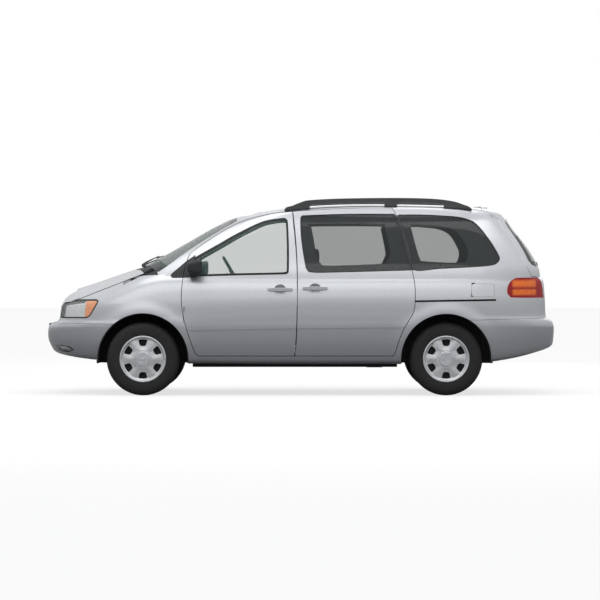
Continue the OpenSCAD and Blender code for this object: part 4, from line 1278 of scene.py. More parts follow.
@dataclass(frozen=True)
class Finish:
    """A finish: what a surface is made of and how it was made.

    Attributes:
        name: Common name of the material and how it is worked.
        base: Its sRGB colour.
        worn: Colour of its lighter or dirtier patches.
        patch_mm: Size of those patches.
        roughness: How rough it is.
        rough_spread: How much the roughness changes over the surface.
        metallic: 1 for a bare metal.
        ior: Index of refraction of what isn't a metal.
        grain_mm: Size of its grain.
        grain_height_mm: Height of its grain.
        coat: Strength of a clear coat.
        alpha: Below 1, the surface lets light through.
    """

    name: str
    base: str
    worn: str
    patch_mm: float = 60.0
    roughness: float = 0.5
    rough_spread: float = 0.08
    metallic: float = 0.0
    ior: float = 1.5
    grain_mm: float = 2.0
    grain_height_mm: float = 0.0
    coat: float = 0.0
    coat_roughness: float = 0.03
    alpha: float = 1.0
    sheen: float = 0.0

    def material(self) -> bpy.types.Material:
        """Material of this finish, made once."""
        found = bpy.data.materials.get(self.name)
        if found is not None:
            return found
        mat = bpy.data.materials.new(self.name)
        mat.use_nodes = True
        tree = mat.node_tree
        tree.nodes.clear()
        place = add(tree, "ShaderNodeTexCoord").outputs["Object"]
        shader = add(tree, "ShaderNodeBsdfPrincipled")
        out = add(tree, "ShaderNodeOutputMaterial", {"Surface": shader.outputs[0]})
        out.location = (400, 0)
        for key, value in {
            "Metallic": self.metallic,
            "IOR": self.ior,
            "Coat Weight": self.coat,
            "Coat Roughness": self.coat_roughness,
            "Alpha": self.alpha,
            "Sheen Weight": self.sheen,
        }.items():
            shader.inputs[key].default_value = value
        self.wire(tree, place, shader)
        return mat

    def wire(self, tree: Tree, place: Socket, shader: bpy.types.Node) -> None:
        """Adds the colour, roughness and grain of this finish.

        Args:
            tree: The material's node tree.
            place: Object coordinates, in metres.
            shader: The shader to feed.
        """
        patches = add(
            tree, "ShaderNodeTexNoise",
            {"Vector": place, "Scale": 1 / (self.patch_mm * MM), "Detail": 4.0, "Roughness": 0.55},
        ).outputs["Fac"]
        tree.links.new(
            ramp(tree, patches, ((0.3, self.base), (0.75, self.worn))), shader.inputs["Base Color"],
        )
        rough = add(
            tree, "ShaderNodeMapRange",
            {
                "Value": patches, 1: 0.3, 2: 0.7, 3: max(0.02, self.roughness - self.rough_spread),
                4: self.roughness + self.rough_spread,
            },
        )
        tree.links.new(rough.outputs[0], shader.inputs["Roughness"])
        if self.grain_height_mm:
            grain = add(
                tree, "ShaderNodeTexNoise",
                {"Vector": place, "Scale": 1 / (self.grain_mm * MM), "Detail": 3.0},
            ).outputs["Fac"]
            bump = add(
                tree, "ShaderNodeBump",
                {"Height": grain, "Distance": self.grain_height_mm * MM, "Strength": 1.0},
            )
            tree.links.new(bump.outputs[0], shader.inputs["Normal"])


@dataclass(frozen=True)
class MetallicPaint(Finish):
    """Sprayed metallic paint: flakes under a clear coat, which sparkle and brighten towards the light."""

    flake_mm: float = 3.0

    def wire(self, tree: Tree, place: Socket, shader: bpy.types.Node) -> None:
        """Adds flakes, and painted shade: the paint turns a darker grey towards the bottom of the body."""
        # Real flakes are 0.05 mm, so they are drawn 3 mm wide to show at all
        flakes = add(
            tree, "ShaderNodeTexVoronoi", {"Vector": place, "Scale": 1 / (self.flake_mm * MM)},
        ).outputs["Color"]
        spark = add(tree, "ShaderNodeSeparateColor", {0: flakes}).outputs[0]
        height = add(tree, "ShaderNodeSeparateXYZ", {0: place}).outputs["Z"]
        # Painted shade: from 0.95 m down to 0.40 m the colour is mixed ever more with a darker grey, fully
        # below that
        painted_shade = add(tree, "ShaderNodeMapRange", {"Value": height, 1: 0.95, 2: 0.40, 3: 0.0, 4: 1.0}).outputs[0]
        clean = ramp(tree, spark, ((0.0, self.base), (1.0, self.worn)))
        mixed = add(
            tree, "ShaderNodeMix", {0: painted_shade, 6: clean, 7: colour("#A3A5AA")}, data_type="RGBA",
        ).outputs[2]
        tree.links.new(mixed, shader.inputs["Base Color"])
        rough = add(
            tree, "ShaderNodeMapRange",
            {"Value": spark, 3: self.roughness - self.rough_spread, 4: self.roughness + self.rough_spread},
        )
        tree.links.new(rough.outputs[0], shader.inputs["Roughness"])
        # Orange peel of the sprayed coat, 12 mm from crest to crest
        peel = add(
            tree, "ShaderNodeTexNoise", {"Vector": place, "Scale": 1 / 0.012, "Detail": 1.0},
        ).outputs["Fac"]
        bump = add(tree, "ShaderNodeBump", {"Height": peel, "Distance": 0.00004, "Strength": 0.6})
        tree.links.new(bump.outputs[0], shader.inputs["Coat Normal"])


@dataclass(frozen=True)
class LampLens(Finish):
    """Moulded acrylic lens with upright flutes, which break up what lies behind it."""

    flute_mm: float = 9.0

    def wire(self, tree: Tree, place: Socket, shader: bpy.types.Node) -> None:
        """Adds the flutes to the plain finish."""
        super().wire(tree, place, shader)
        flutes = add(
            tree, "ShaderNodeTexWave",
            {"Vector": place, "Scale": 0.314 / (self.flute_mm * MM) / 2, "Distortion": 0.0},
            wave_type="BANDS", bands_direction="X",
        )
        bump = add(
            tree, "ShaderNodeBump", {"Height": flutes.outputs["Fac"], "Distance": 0.0008, "Strength": 0.5},
        )
        tree.links.new(bump.outputs[0], shader.inputs["Normal"])


@dataclass(frozen=True)
class TailLens(Finish):
    """Two-shot moulded tail lens: red acrylic with two amber chambers, one over the other."""

    amber: str = "#E2641C"

    def wire(self, tree: Tree, place: Socket, shader: bpy.types.Node) -> None:
        """Colours the chambers by their height and length."""
        xyz = add(tree, "ShaderNodeSeparateXYZ", {0: place})

        def band(socket: str, low: float, high: float, soft: float) -> Socket:
            up = add(
                tree, "ShaderNodeMapRange",
                {"Value": xyz.outputs[socket], 1: (low - soft) * MM, 2: (low + soft) * MM},
                interpolation_type="SMOOTHSTEP",
            ).outputs[0]
            down = add(
                tree, "ShaderNodeMapRange",
                {"Value": xyz.outputs[socket], 1: (high + soft) * MM, 2: (high - soft) * MM},
                interpolation_type="SMOOTHSTEP",
            ).outputs[0]
            return add(tree, "ShaderNodeMath", {0: up, 1: down}, operation="MULTIPLY").outputs[0]

        upper, lower = band("Z", 1008, 1070, 18), band("Z", 934, 986, 14)
        both = add(tree, "ShaderNodeMath", {0: upper, 1: lower}, operation="MAXIMUM").outputs[0]
        length = band("X", 1972, 2196, 14)
        mask = add(tree, "ShaderNodeMath", {0: both, 1: length}, operation="MULTIPLY").outputs[0]
        facets = add(tree, "ShaderNodeTexVoronoi", {"Vector": place, "Scale": 1 / 0.022}).outputs["Distance"]
        glow = ramp(tree, facets, ((0.0, "#EE7E30"), (0.8, self.amber)))
        mixed = add(
            tree, "ShaderNodeMix", {0: mask, 6: colour(self.base), 7: glow}, data_type="RGBA",
        ).outputs[2]
        tree.links.new(mixed, shader.inputs["Base Color"])
        bump = add(tree, "ShaderNodeBump", {"Height": facets, "Distance": 0.0006, "Strength": 0.5})
        tree.links.new(bump.outputs[0], shader.inputs["Normal"])
        shader.inputs["Roughness"].default_value = self.roughness


@dataclass(frozen=True)
class Woven(Finish):
    """Woven seat cloth: crossing threads, a little lighter on their crowns."""

    thread_mm: float = 4.0

    def wire(self, tree: Tree, place: Socket, shader: bpy.types.Node) -> None:
        """Adds warp and weft over the colour of the yarn."""
        super().wire(tree, place, shader)
        # Threads are 1.2 mm on the real cloth, and are drawn 4 mm wide so that they show
        scale = 0.314 / (self.thread_mm * MM) / 2
        waves = [
            add(
                tree, "ShaderNodeTexWave", {"Vector": place, "Scale": scale, "Distortion": 0.4},
                wave_type="BANDS", bands_direction=d,
            ).outputs["Fac"]
            for d in ("Y", "DIAGONAL")
        ]
        weave = add(tree, "ShaderNodeMath", {0: waves[0], 1: waves[1]}, operation="MULTIPLY").outputs[0]
        bump = add(tree, "ShaderNodeBump", {"Height": weave, "Distance": 0.0008, "Strength": 0.7})
        tree.links.new(bump.outputs[0], shader.inputs["Normal"])


# Metallic paint under clear lacquer gives bright, soft edges with a sharp top gloss
PAINT = MetallicPaint(
    "metallic paint, sprayed", "#BDBFC3", "#CED0D3", roughness=0.36, rough_spread=0.06, metallic=0.72,
    coat=0.8, coat_roughness=0.06,
)
# The same paint on a flexible bumper cover looks a shade duller
BUMPER_PAINT = MetallicPaint(
    "metallic paint on bumper cover", "#B9BBBF", "#C8CACD", roughness=0.40, rough_spread=0.06, metallic=0.66,
    coat=0.6, coat_roughness=0.1,
)
# Moulded-in black plastic has a fine leather-like grain and a soft sheen
BLACK_PLASTIC = Finish(
    "ABS, moulded black", "#1C1D1F", "#26282A", patch_mm=90, roughness=0.45, grain_mm=1.6,
    grain_height_mm=0.15, ior=1.5,
)
# Extruded rubber is near black and dull
SEAL = Finish(
    "EPDM rubber, extruded", "#121314", "#1B1C1E", patch_mm=40, roughness=0.6, grain_mm=3,
    grain_height_mm=0.08, ior=1.5,
)
# Float glass is clear with a green cast, and shows the sky on its surface
CLEAR_GLASS = Finish(
    "float glass, tinted green", "#6F8C84", "#738F87", patch_mm=700, roughness=0.03, rough_spread=0.01,
    ior=1.52, alpha=0.15,
)
# Laminated windscreen glass is thicker and steeply inclined; over its green tint it is given a darker grey
# colour, a painted reflection
SCREEN_GLASS = Finish(
    "laminated glass, tinted green, painted reflection", "#5B6B68", "#61716D", patch_mm=700, roughness=0.03, rough_spread=0.01,
    ior=1.52, alpha=0.40,
)
# Privacy glass is dyed through, so that the cabin is only guessed at
DARK_GLASS = Finish(
    "privacy glass, dyed", "#343B3B", "#3A4140", patch_mm=700, roughness=0.03, rough_spread=0.01, ior=1.52,
    alpha=0.27,
)
# Ceramic frit fired on the glass edge is black under a glossy face
FRIT = Finish(
    "ceramic frit on glass", "#2E3132", "#343738", patch_mm=300, roughness=0.06, rough_spread=0.02, ior=1.52,
)
LAMP_LENS = LampLens(
    "acrylic lens, fluted", "#E8ECEC", "#F2F4F4", patch_mm=120, roughness=0.05, rough_spread=0.02, ior=1.49,
    alpha=0.12,
)
AMBER_LENS = LampLens(
    "acrylic lens, amber", "#F08600", "#F79200", patch_mm=50, roughness=0.12, ior=1.49, flute_mm=12, coat=0.6,
)
# Vacuum-plated reflector: bright, soft mirror
REFLECTOR = Finish(
    "aluminium, vacuum plated", "#CDD0D0", "#E6E7E5", patch_mm=40, roughness=0.16, metallic=1.0, grain_mm=14,
    grain_height_mm=0.6,
)
TAIL_LENS = TailLens(
    "acrylic tail lens, two shot", "#960508", "#A80A0C", roughness=0.22, rough_spread=0.02, ior=1.35,
    coat=0.25,
)
RED_LENS = LampLens(
    "acrylic lens, red", "#9E1014", "#B3171A", patch_mm=50, roughness=0.10, ior=1.49, coat=0.6,
)
# Vulcanised rubber with a dusty bloom
TYRE = Finish(
    "tyre rubber, vulcanised", "#111112", "#1C1C1D", patch_mm=35, roughness=0.72, rough_spread=0.1,
    grain_mm=5, grain_height_mm=0.25, ior=1.5,
)
# Silver-painted wheel cover, satin with fine flake
COVER = Finish(
    "nylon wheel cover, silver painted", "#C3C5C8", "#D2D4D6", patch_mm=45, roughness=0.34, metallic=0.55,
    grain_mm=2, grain_height_mm=0.02, coat=0.3,
)
TRIM = Finish(
    "polypropylene trim, grained", "#5A5B59", "#686966", patch_mm=120, roughness=0.6, grain_mm=3,
    grain_height_mm=0.2,
)
CLOTH = Woven("seat cloth, woven", "#55565A", "#626367", patch_mm=90, roughness=0.85, sheen=0.3, ior=1.45)
RAIL = Finish(
    "rail plastic, satin", "#3B3E40", "#474A4C", patch_mm=80, roughness=0.38, grain_mm=2,
    grain_height_mm=0.06, ior=1.5,
)
IRON = Finish(
    "cast iron, oily", "#3A3836", "#4B4844", patch_mm=70, roughness=0.6, metallic=0.7, grain_mm=4,
    grain_height_mm=0.4,
)
LINER = Finish(
    "polypropylene liner, matt", "#0B0B0C", "#161617", patch_mm=60, roughness=0.8, grain_mm=4,
    grain_height_mm=0.3,
)
STEEL = Finish(
    "steel, dip primed black", "#1B1B1C", "#2B2A29", patch_mm=50, roughness=0.55, metallic=0.2, grain_mm=3,
    grain_height_mm=0.15,
)
PLATE = Finish("aluminium plate, blank white", "#E4E5E3", "#D6D8D7", patch_mm=60, roughness=0.4, coat=0.3)
MIRROR_FACE = Finish(
    "mirror glass, silvered", "#D8DCDD", "#E4E6E6", patch_mm=200, roughness=0.02, rough_spread=0.01,
    metallic=1.0,
)


# ---------------------------------------------------------------- glass, lamps and trim
TRACK: Outline = [(1056, 866), (1816, 878), (1816, 896), (1056, 884)]
FRONT_HANDLE: Point = (-184, 985)
SLIDE_HANDLE: Point = (139, 996)


def rounded(x0: float, z0: float, x1: float, z1: float, r: float, steps: int = 6) -> Outline:
    """Rectangle with round corners."""
    out: Outline = []
    for cx, cz, start in (
        (x1 - r, z0 + r, -90), (x1 - r, z1 - r, 0), (x0 + r, z1 - r, 90), (x0 + r, z0 + r, 180),
    ):
        out += [
            (
                cx + r * math.cos(math.radians(start + 90 * i / steps)),
                cz + r * math.sin(math.radians(start + 90 * i / steps)),
            )
            for i in range(steps + 1)
        ]
    return out


def bevelled(obj: Piece, width: float, segments: int = 2, angle: float = 40) -> Piece:
    """Rounds a mesh's sharp edges by a width in millimetres."""
    apply_modifier(
        obj, "BEVEL", width=width * MM, segments=segments, limit_method="ANGLE",
        angle_limit=math.radians(angle),
    )
    return obj


@dataclass
class Windows:
    """Window glass with its rubber seals and fired black edges.

    Attributes:
        seal: Width of a rubber seal.
    """

    tools: BodyTools
    seal: float = 20.0

    def build(self) -> None:
        """Builds all panes, left ones first."""
        self.windscreen()
        self.pane("front_glass", FRONT_WINDOW, CLEAR_GLASS, "clear_glass", ON_DOORS, self.seal)
        self.pane("sliding_glass", SLIDING_WINDOW, DARK_GLASS, "dark_glass", ON_BODY, 7, SLIDING_CLEAR)
        self.pane("quarter_pane", QUARTER_WINDOW, DARK_GLASS, "dark_glass", ON_BODY, 7, QUARTER_CLEAR)
        for pane, node in (
            ("front_glass_left", "front_door_glass_left"),
            ("front_glass_right", "front_door_glass_right"),
            ("sliding_glass_left", "sliding_door_glass"),
            ("quarter_pane_left", "quarter_glass"),
        ):
            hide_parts(node)
        self.tailgate()
        self.pillars()
        self.sails()

    def windscreen(self) -> None:
        """Windscreen with a black edge all round."""
        t = self.tools
        glass = boolean(t.skin(*GLASS_DEPTH), t.zone("windscreen"), Cut.KEEP, keep_tool=True)
        inner = side(
            [
                (x + 34, z - 4)
                for x, z in flow(WINDSCREEN_EDGE)
            ] + [(-660, 1840), (-1800, 1840), (-1800, 1060)],
            *ACROSS,
        )
        clear = boolean(
            without(inner, t.ahead_of_cowl(150)),
            side([(-2000, 1000), (-660, 1000), (-660, 2000), (-2000, 2000)], *ACROSS), Cut.KEEP,
        )
        band = boolean(copy_of(glass, "band"), clear, Cut.AWAY, keep_tool=True)
        glass = boolean(glass, clear, Cut.KEEP)
        dress(
            smooth(glass, weighted=False), "windscreen_glass", "body", SCREEN_GLASS, "clear_glass",
            ("windshield",),
        )
        dress(smooth(band, weighted=False), "windscreen_band", "body", FRIT, "black_plastic")

    def pane(
        self, name: str, outline: Outline, finish: Finish, slot: str, bodies: tuple[str, str], seal: float,
        clear: Outline | None = None,
    ) -> None:
        """Builds a side pane with its seal, and the same on the right.

        Args:
            name: Name of the pane.
            outline: Edge of its opening.
            finish: The glass.
            slot: Material slot.
            bodies: Bodies of the left and right one.
            seal: Width of its seal.
            clear: Clear middle of a fixed pane, inside its black edge.
        """
        t = self.tools
        glass = within(t.skin(*GLASS_DEPTH), side(grow(outline, -seal), *GLAZING))
        frame = within(
            t.skin(1, 9.5),
            without(side(grow(outline, -0.4), *GLAZING), side(grow(outline, -seal + 0.05), *THROUGH)),
        )
        parts = [(glass, name, finish, slot), (frame, name + "_seal", SEAL, "black_plastic")]
        if clear:
            band = within(
                t.skin(8.2, 9.6), without(side(grow(outline, -seal), *GLAZING), side(clear, *THROUGH)),
            )
            parts.append((band, name + "_frit", FRIT, "black_plastic"))
        for obj, label, look, kind in parts:
            dress_pair(obj, label, bodies, look, kind, weighted=False)

    def tailgate(self) -> None:
        """Rear window with its black edge."""
        t = self.tools
        limit = block((1700, -1000, 1000), (2600, 1000, 1900))
        pane = within(t.skin(*GLASS_DEPTH), behind(GATE_GLASS_HALF, -0.3), limit)
        inner = behind(GATE_GLASS_HALF, -46)
        band = boolean(copy_of(pane, "band"), inner, Cut.AWAY, keep_tool=True)
        dress(
            smooth(boolean(pane, inner, Cut.KEEP), weighted=False), "gate_glass", "liftgate", DARK_GLASS,
            "dark_glass", ("liftgate_glass",),
        )
        dress(smooth(band, weighted=False), "gate_band", "liftgate", FRIT, "black_plastic")

    def pillars(self) -> None:
        """Black covers between the rear side windows, one on the door and one on the body."""
        t = self.tools
        edge = flow([(1040, 1161), (1008, 1310), (972, 1450), (935, 1560), (898, 1676)])
        strip = [(x - 60, z) for x, z in edge] + [(x + 60, z) for x, z in reversed(edge)]
        door = within(
            t.skin(*COVER_DEPTH), side(strip, *FLANK), side(grow(SLIDING_DOOR, -GAP / 2 - 0.3), *FLANK),
        )
        door = without(door, side(grow(SLIDING_WINDOW, -0.4), *GLAZING))
        body = without(
            within(t.skin(*COVER_DEPTH), side(strip, *FLANK)),
            side(grow(SLIDING_DOOR, GAP / 2 + 0.3), *FLANK), side(grow(QUARTER_WINDOW, -0.4), *GLAZING),
            side([(1020, 1000), (1400, 1000), (1400, 1400), (1056, 1163)], *THROUGH),
        )
        for obj, name in ((door, "pillar_door"), (body, "pillar_body")):
            dress_pair(obj, name, ON_BODY, FRIT, "black_plastic", weighted=False)

    def sails(self) -> None:
        """Black corner covers ahead of the front windows, one part on the fender and one on the door."""
        t = self.tools
        fixed = [(-1200, 1118), (-1196, 1102), (-1184, 1094), (-1070, 1094), (-1040, 1262), (-1186, 1136)]
        gap = grow(FRONT_DOOR, GAP / 2)
        part = without(within(t.skin(-2, 2), side(fixed, *FLANK)), side(gap, *FLANK))
        door = [(-1100, 1094), (-972, 1096), (-972, 1306), (-1046, 1256), (-1100, 1209)]
        moving = within(t.skin(-2, 2), side(door, *FLANK), side(grow(FRONT_DOOR, -GAP / 2), *FLANK))
        moving = without(moving, side(grow(FRONT_WINDOW, -0.4), *GLAZING))
        for obj, name, bodies in ((part, "sail_fixed", ON_BODY), (moving, "sail_door", ON_DOORS)):
            dress_pair(obj, name, bodies, BLACK_PLASTIC, "black_plastic", weighted=False)


@dataclass
class Lamps:
    """Headlamps and tail lamps."""

    tools: BodyTools

    def build(self) -> None:
        """Builds the lamps of both sides."""
        t = self.tools
        zone = t.zone("head")
        rim = grow(HEADLAMP, -3)
        lens_edge = grow(HEADLAMP, -11)
        bezel = without(
            within(t.skin(0.5, 40), side(rim, -1300, -HEADLAMP_IN - 3)),
            side(lens_edge, -1310, -HEADLAMP_IN - 12),
        )
        bezel = carve(bezel, t.zone("hood_gap"), t.zone("arches"))
        lens = within(t.skin(0.8, 5), side(lens_edge, -1300, -HEADLAMP_IN - 12))
        amber_edge = [(-2020, 600), (-1700, 600), (-1700, 1000), (-1978, 1000)]
        amber = within(
            t.skin(7, 13), side(grow(lens_edge, -0.5), -1300, -HEADLAMP_IN - 13),
            side(amber_edge, -1310, -HEADLAMP_IN),
        )
        bowl = within(t.skin(22, 26), side(grow(lens_edge, -0.5), -1300, -HEADLAMP_IN - 13))
        bowl = without(bowl, side(amber_edge, -1310, -HEADLAMP_IN + 10))
        rib = within(
            t.skin(9, 21), side(grow(lens_edge, -1), -1300, -HEADLAMP_IN - 13),
            side([(-2030, 600), (-2021, 600), (-1979, 1000), (-1988, 1000)], -1310, -HEADLAMP_IN),
        )
        for obj, name, finish, slot in (
            (bezel, "headlamp_bezel", SEAL, "black_plastic"),
            (lens, "headlamp_lens", LAMP_LENS, "lamp_clear"),
            (amber, "headlamp_amber", AMBER_LENS, "lamp_clear"),
            (bowl, "headlamp_bowl", REFLECTOR, "lamp_clear"),
            (rib, "headlamp_rib", REFLECTOR, "lamp_clear"),
        ):
            dress_whole(obj, name, finish, slot, ("headlamps",) if name == "headlamp_lens" else ())
        tail = boolean(t.skin(0, 30), t.zone("tail"), Cut.KEEP, keep_tool=True)
        tail = carve(tail, t.zone("gate_gap"))
        dress(smooth(tail), "tail_lamp_lenses", "body", TAIL_LENS, "lamp_red", ("tail_lamps",))


@dataclass
class FogLamps:
    """Fog lamp openings at the bumper's lower corners, each with a lamp in it."""

    def opening(self) -> Piece:
        """Tool that cuts the left opening."""
        return prism(
            [(-610, 398), (-510, 404), (-492, 430), (-504, 460), (-610, 464), (-664, 450), (-672, 420)],
            -2500, -2000, "X",
        )

    def build(self, tools: BodyTools) -> None:
        """Builds the liner and the lens of both openings."""
        liner = within(tools.skin(34, 40), self.opening())
        lens = within(
            tools.skin(16, 22),
            prism(
                [(-600, 408), (-530, 410), (-520, 432), (-528, 452), (-600, 454), (-630, 432)], -2500, -2000,
                "X",
            ),
        )
        for obj, name, finish, slot in (
            (liner, "fog_liners", LINER, "liner"), (lens, "fog_lenses", REFLECTOR, "lamp_clear"),
        ):
            dress_whole(obj, name, finish, slot)


@dataclass
class Handles:
    """Door handles: a bar across a round cup.

    Attributes:
        length: Length of a bar.
        height: Height of a bar.
    """

    tools: BodyTools
    length: float = 230.0
    height: float = 31.0

    @staticmethod
    def cup(place: Point) -> Piece:
        """Tool that hollows the door behind a handle."""
        bpy.ops.mesh.primitive_uv_sphere_add(
            segments=48, ring_count=24, radius=1, location=(place[0] * MM, -0.921, place[1] * MM),
            scale=(0.056, 0.030, 0.053),
        )
        return settle(bpy.context.object)

    def bar(self, place: Point) -> Piece:
        """Handle bar with round ends, bowed to follow the door."""
        x, z = place
        deselect()
        bpy.ops.mesh.primitive_cube_add(
            size=1, location=(x * MM, -0.929, z * MM), scale=(self.length * MM, 0.019, self.height * MM),
        )
        obj = settle(bpy.context.object)
        bpy.ops.object.mode_set(mode="EDIT")
        bpy.ops.mesh.select_all(action="SELECT")
        bpy.ops.mesh.subdivide(number_cuts=7)
        bpy.ops.object.mode_set(mode="OBJECT")
        for v in obj.data.vertices:
            t = abs(v.co.x / MM - x) / (self.length / 2)
            v.co.y += 0.007 * t * t
            v.co.z = z * MM + (v.co.z - z * MM) * (1 - 0.22 * t**4)
        return bevelled(obj, 6, 3)

    def build(self) -> None:
        """Builds the handles of all four doors."""
        for place, name, bodies in (
            (FRONT_HANDLE, "front_handle", ON_DOORS), (SLIDE_HANDLE, "slide_handle", ON_BODY),
        ):
            dress_pair(self.bar(place), name, bodies, BUMPER_PAINT, "bumper_paint", angle=45)
        lock = turned([(0, 0), (11, 0), (12, 3), (11, 6), (0, 7)], 32)
        lock.data.transform(
            Matrix.Translation((-0.085, -0.922, 0.985)) @ Matrix.Rotation(math.radians(90), 4, "X")
        )
        dress_pair(lock, "lock", ON_DOORS, STEEL, "steel")


@dataclass
class Trim:
    """Side mouldings, door track, roof rails, mirrors, spoiler, wipers, grille and plates."""

    tools: BodyTools
    moulding_out: float = 9.0

    def build(self) -> None:
        """Builds every trim piece."""
        self.mouldings()
        self.track()
        self.rails()
        self.mirrors()
        self.spoiler()
        self.wipers()
        self.grille()
        self.plates()
        self.fuel_door()
        self.joint()
        self.sill_edge()

    def mouldings(self) -> None:
        """Body-coloured strips along the sides."""
        t = self.tools
        low = flow([(-1040, 606), (-400, 618), (300, 628), (1100, 634)])
        high = flow([(-1046, 652), (-400, 666), (300, 674), (1100, 680)])
        strip = low + high[::-1]
        for name, outline, bodies in (
            ("moulding_front", grow(FRONT_DOOR, -GAP / 2 - 1), ON_DOORS),
            ("moulding_slide", grow(SLIDING_DOOR, -GAP / 2 - 1), ON_BODY),
        ):
            obj = within(t.skin(-self.moulding_out, 1), side(strip, *FLANK), side(outline, *FLANK))
            dress_pair(bevelled(obj, 5.5, 3, 50), name, bodies, BUMPER_PAINT, "bumper_paint", angle=45)

    def track(self) -> None:
        """Dark rail of the sliding doors, sunk in the body side."""
        obj = within(self.tools.skin(11, 15.5), side(grow(TRACK, -0.3), *FLANK))
        dress_whole(obj, "door_tracks", LINER, "liner")

    def rails(self) -> None:
        """Roof rails, each on three feet."""
        t = self.tools
        line = flow(
            [
                (-150, 1600), (-143, 1734), (-70, 1766), (10, 1798), (90, 1817), (370, 1832), (850, 1838),
                (1200, 1832), (1400, 1812), (1520, 1778), (1606, 1730), (1612, 1600),
            ],
            6,
        )
        gaps = (
            [(92, 1700), (92, 1760), (104, 1776), (370, 1790), (770, 1796), (786, 1788), (792, 1700)],
            [(905, 1700), (908, 1786), (922, 1796), (1180, 1791), (1325, 1781), (1342, 1770), (1345, 1700)],
        )
        bar = side(line, -694, -652)
        bar = without(bar, side(gaps[0], -800, -600), side(gaps[1], -800, -600))
        gutter = [(-400, 1000)] + [p for p in flow(GUTTER) if p[0] > -400] + [(1826, 1000)]
        bar = without(bar, side(gutter, -800, -600))
        bar = without(bar, moved(copy_of(t.keep("solid_0", lambda: t.solid(0)), "raised"), z=1))
        bar = bevelled(bar, 7, 3, 50)
        for v in bar.data.vertices:
            v.co.z = min(v.co.z, 1.838)
        dress_whole(bar, "rails", RAIL, "rail_grey", ("roof_rails",), 40, True)

    def mirrors(self) -> None:
        """Door mirrors: rounded housing, foot and glass."""
        deselect()
        bpy.ops.mesh.primitive_cube_add(size=1, location=(-0.976, -1.000, 1.192), scale=(0.140, 0.156, 0.160))
        obj = settle(bpy.context.object)
        for v in obj.data.vertices:
            # The front is drawn in, so that the housing tapers to a blunt nose
            if v.co.x < -0.976:
                v.co.y = -0.985 + (v.co.y + 0.985) * 0.62
                v.co.z = 1.180 + (v.co.z - 1.180) * 0.62
            if v.co.y > -1.0:
                v.co.z = 1.18 + (v.co.z - 1.18) * 0.84
        apply_modifier(obj, "BEVEL", width=0.034, segments=5, limit_method="NONE")
        bpy.ops.object.mode_set(mode="EDIT")
        work = bmesh.from_edit_mesh(obj.data)
        for face in work.faces:
            face.select = face.normal.x > 0.95 and face.calc_center_median().x > -0.912
        bmesh.update_edit_mesh(obj.data)
        bpy.ops.mesh.inset(thickness=0.007)
        bpy.ops.transform.translate(value=(-0.010, 0, 0))
        bpy.ops.object.mode_set(mode="OBJECT")
        foot = within(
            prism(
                [(-1022, 1100), (-948, 1100), (-940, 1128), (-944, 1168), (-1000, 1172), (-1022, 1150)], -975,
                -800, "Y",
            )
        )
        foot = carve(bevelled(foot, 8, 3), self.tools.keep("solid_0", lambda: self.tools.solid(0)))
        glass = turned([(0, 0), (40, 0), (41, 1.5), (40, 3), (0, 3)], 48)
        glass.data.transform(
            Matrix.Translation((-0.917, -1.000, 1.192)) @ Matrix.Rotation(math.radians(90), 4, "Y")
            @ Matrix.Diagonal((1.32, 1.36, 1, 1))
        )
        housing = join("housing", [obj, foot])
        dress_pair(housing, "mirror_housing", ON_DOORS, BLACK_PLASTIC, "black_plastic", "mirror", 50)
        dress_pair(glass, "mirror_face", ON_DOORS, MIRROR_FACE, "clear_glass", angle=50)

    def spoiler(self) -> None:
        """Lip over the rear window, with a high brake lamp in it."""
        section = [
            (1712, 1738), (1760, 1735), (1806, 1724), (1824, 1700), (1822, 1668), (1812, 1664), (1806, 1688),
            (1780, 1700), (1716, 1722),
        ]
        rings = 13
        points: list[Point3] = []
        for i in range(rings):
            y = -640 + 1280 * i / (rings - 1)
            edge = abs(y) / 640
            drop = 36 * edge**2.6
            points += [(x - 26 * edge**4 + 8, y, z - drop + 10 * (1 - edge * edge)) for x, z in section]
        obj = tube("spoiler", points, len(section))
        dress(smooth(bevelled(obj, 5, 3, 30), 50), "gate_spoiler", "liftgate", PAINT, "paint")
        lamp = block((1822, -150, 1684), (1842, 150, 1708))
        dress(smooth(bevelled(lamp, 5, 3), 50), "high_brake_lamp", "liftgate", RED_LENS, "lamp_red")

    def arm(self, path: Sequence[Point3], wide: float, high: float) -> Piece:
        """Flat bar along a path, tapering to its end.

        Args:
            path: Points of its middle.
            wide: Width at its root.
            high: Thickness at its root.

        Returns:
            The bar.
        """
        points: list[Point3] = []
        spots = [Vector(p) for p in path]
        for i, spot in enumerate(spots):
            ahead = (spots[min(i + 1, len(spots) - 1)] - spots[max(i - 1, 0)]).normalized()
            across = ahead.cross(Vector((0, 0, 1))).normalized()
            up = across.cross(ahead).normalized()
            k = 1 - 0.5 * i / (len(spots) - 1)
            for a, b in ((-1, -1), (1, -1), (1, 1), (-1, 1)):
                p = spot + across * a * wide / 2 * k + up * b * high / 2 * k
                points.append((p.x, p.y, p.z))
        obj = tube("arm", points, 4)
        return bevelled(obj, min(wide, high) * 0.2, 2)

    def surface(self, x: float, y: float, lift: float) -> Point3:
        """Point a little above the body at x and y."""
        hit, place, normal, _ = self.tools.keep("solid_0", lambda: self.tools.solid(0)).ray_cast(
            Vector((x, y, 3000)) * MM, Vector((0, 0, -1)),
        )
        spot = place / MM + normal * lift if hit else Vector((x, y, 1200))
        return spot.x, spot.y, spot.z

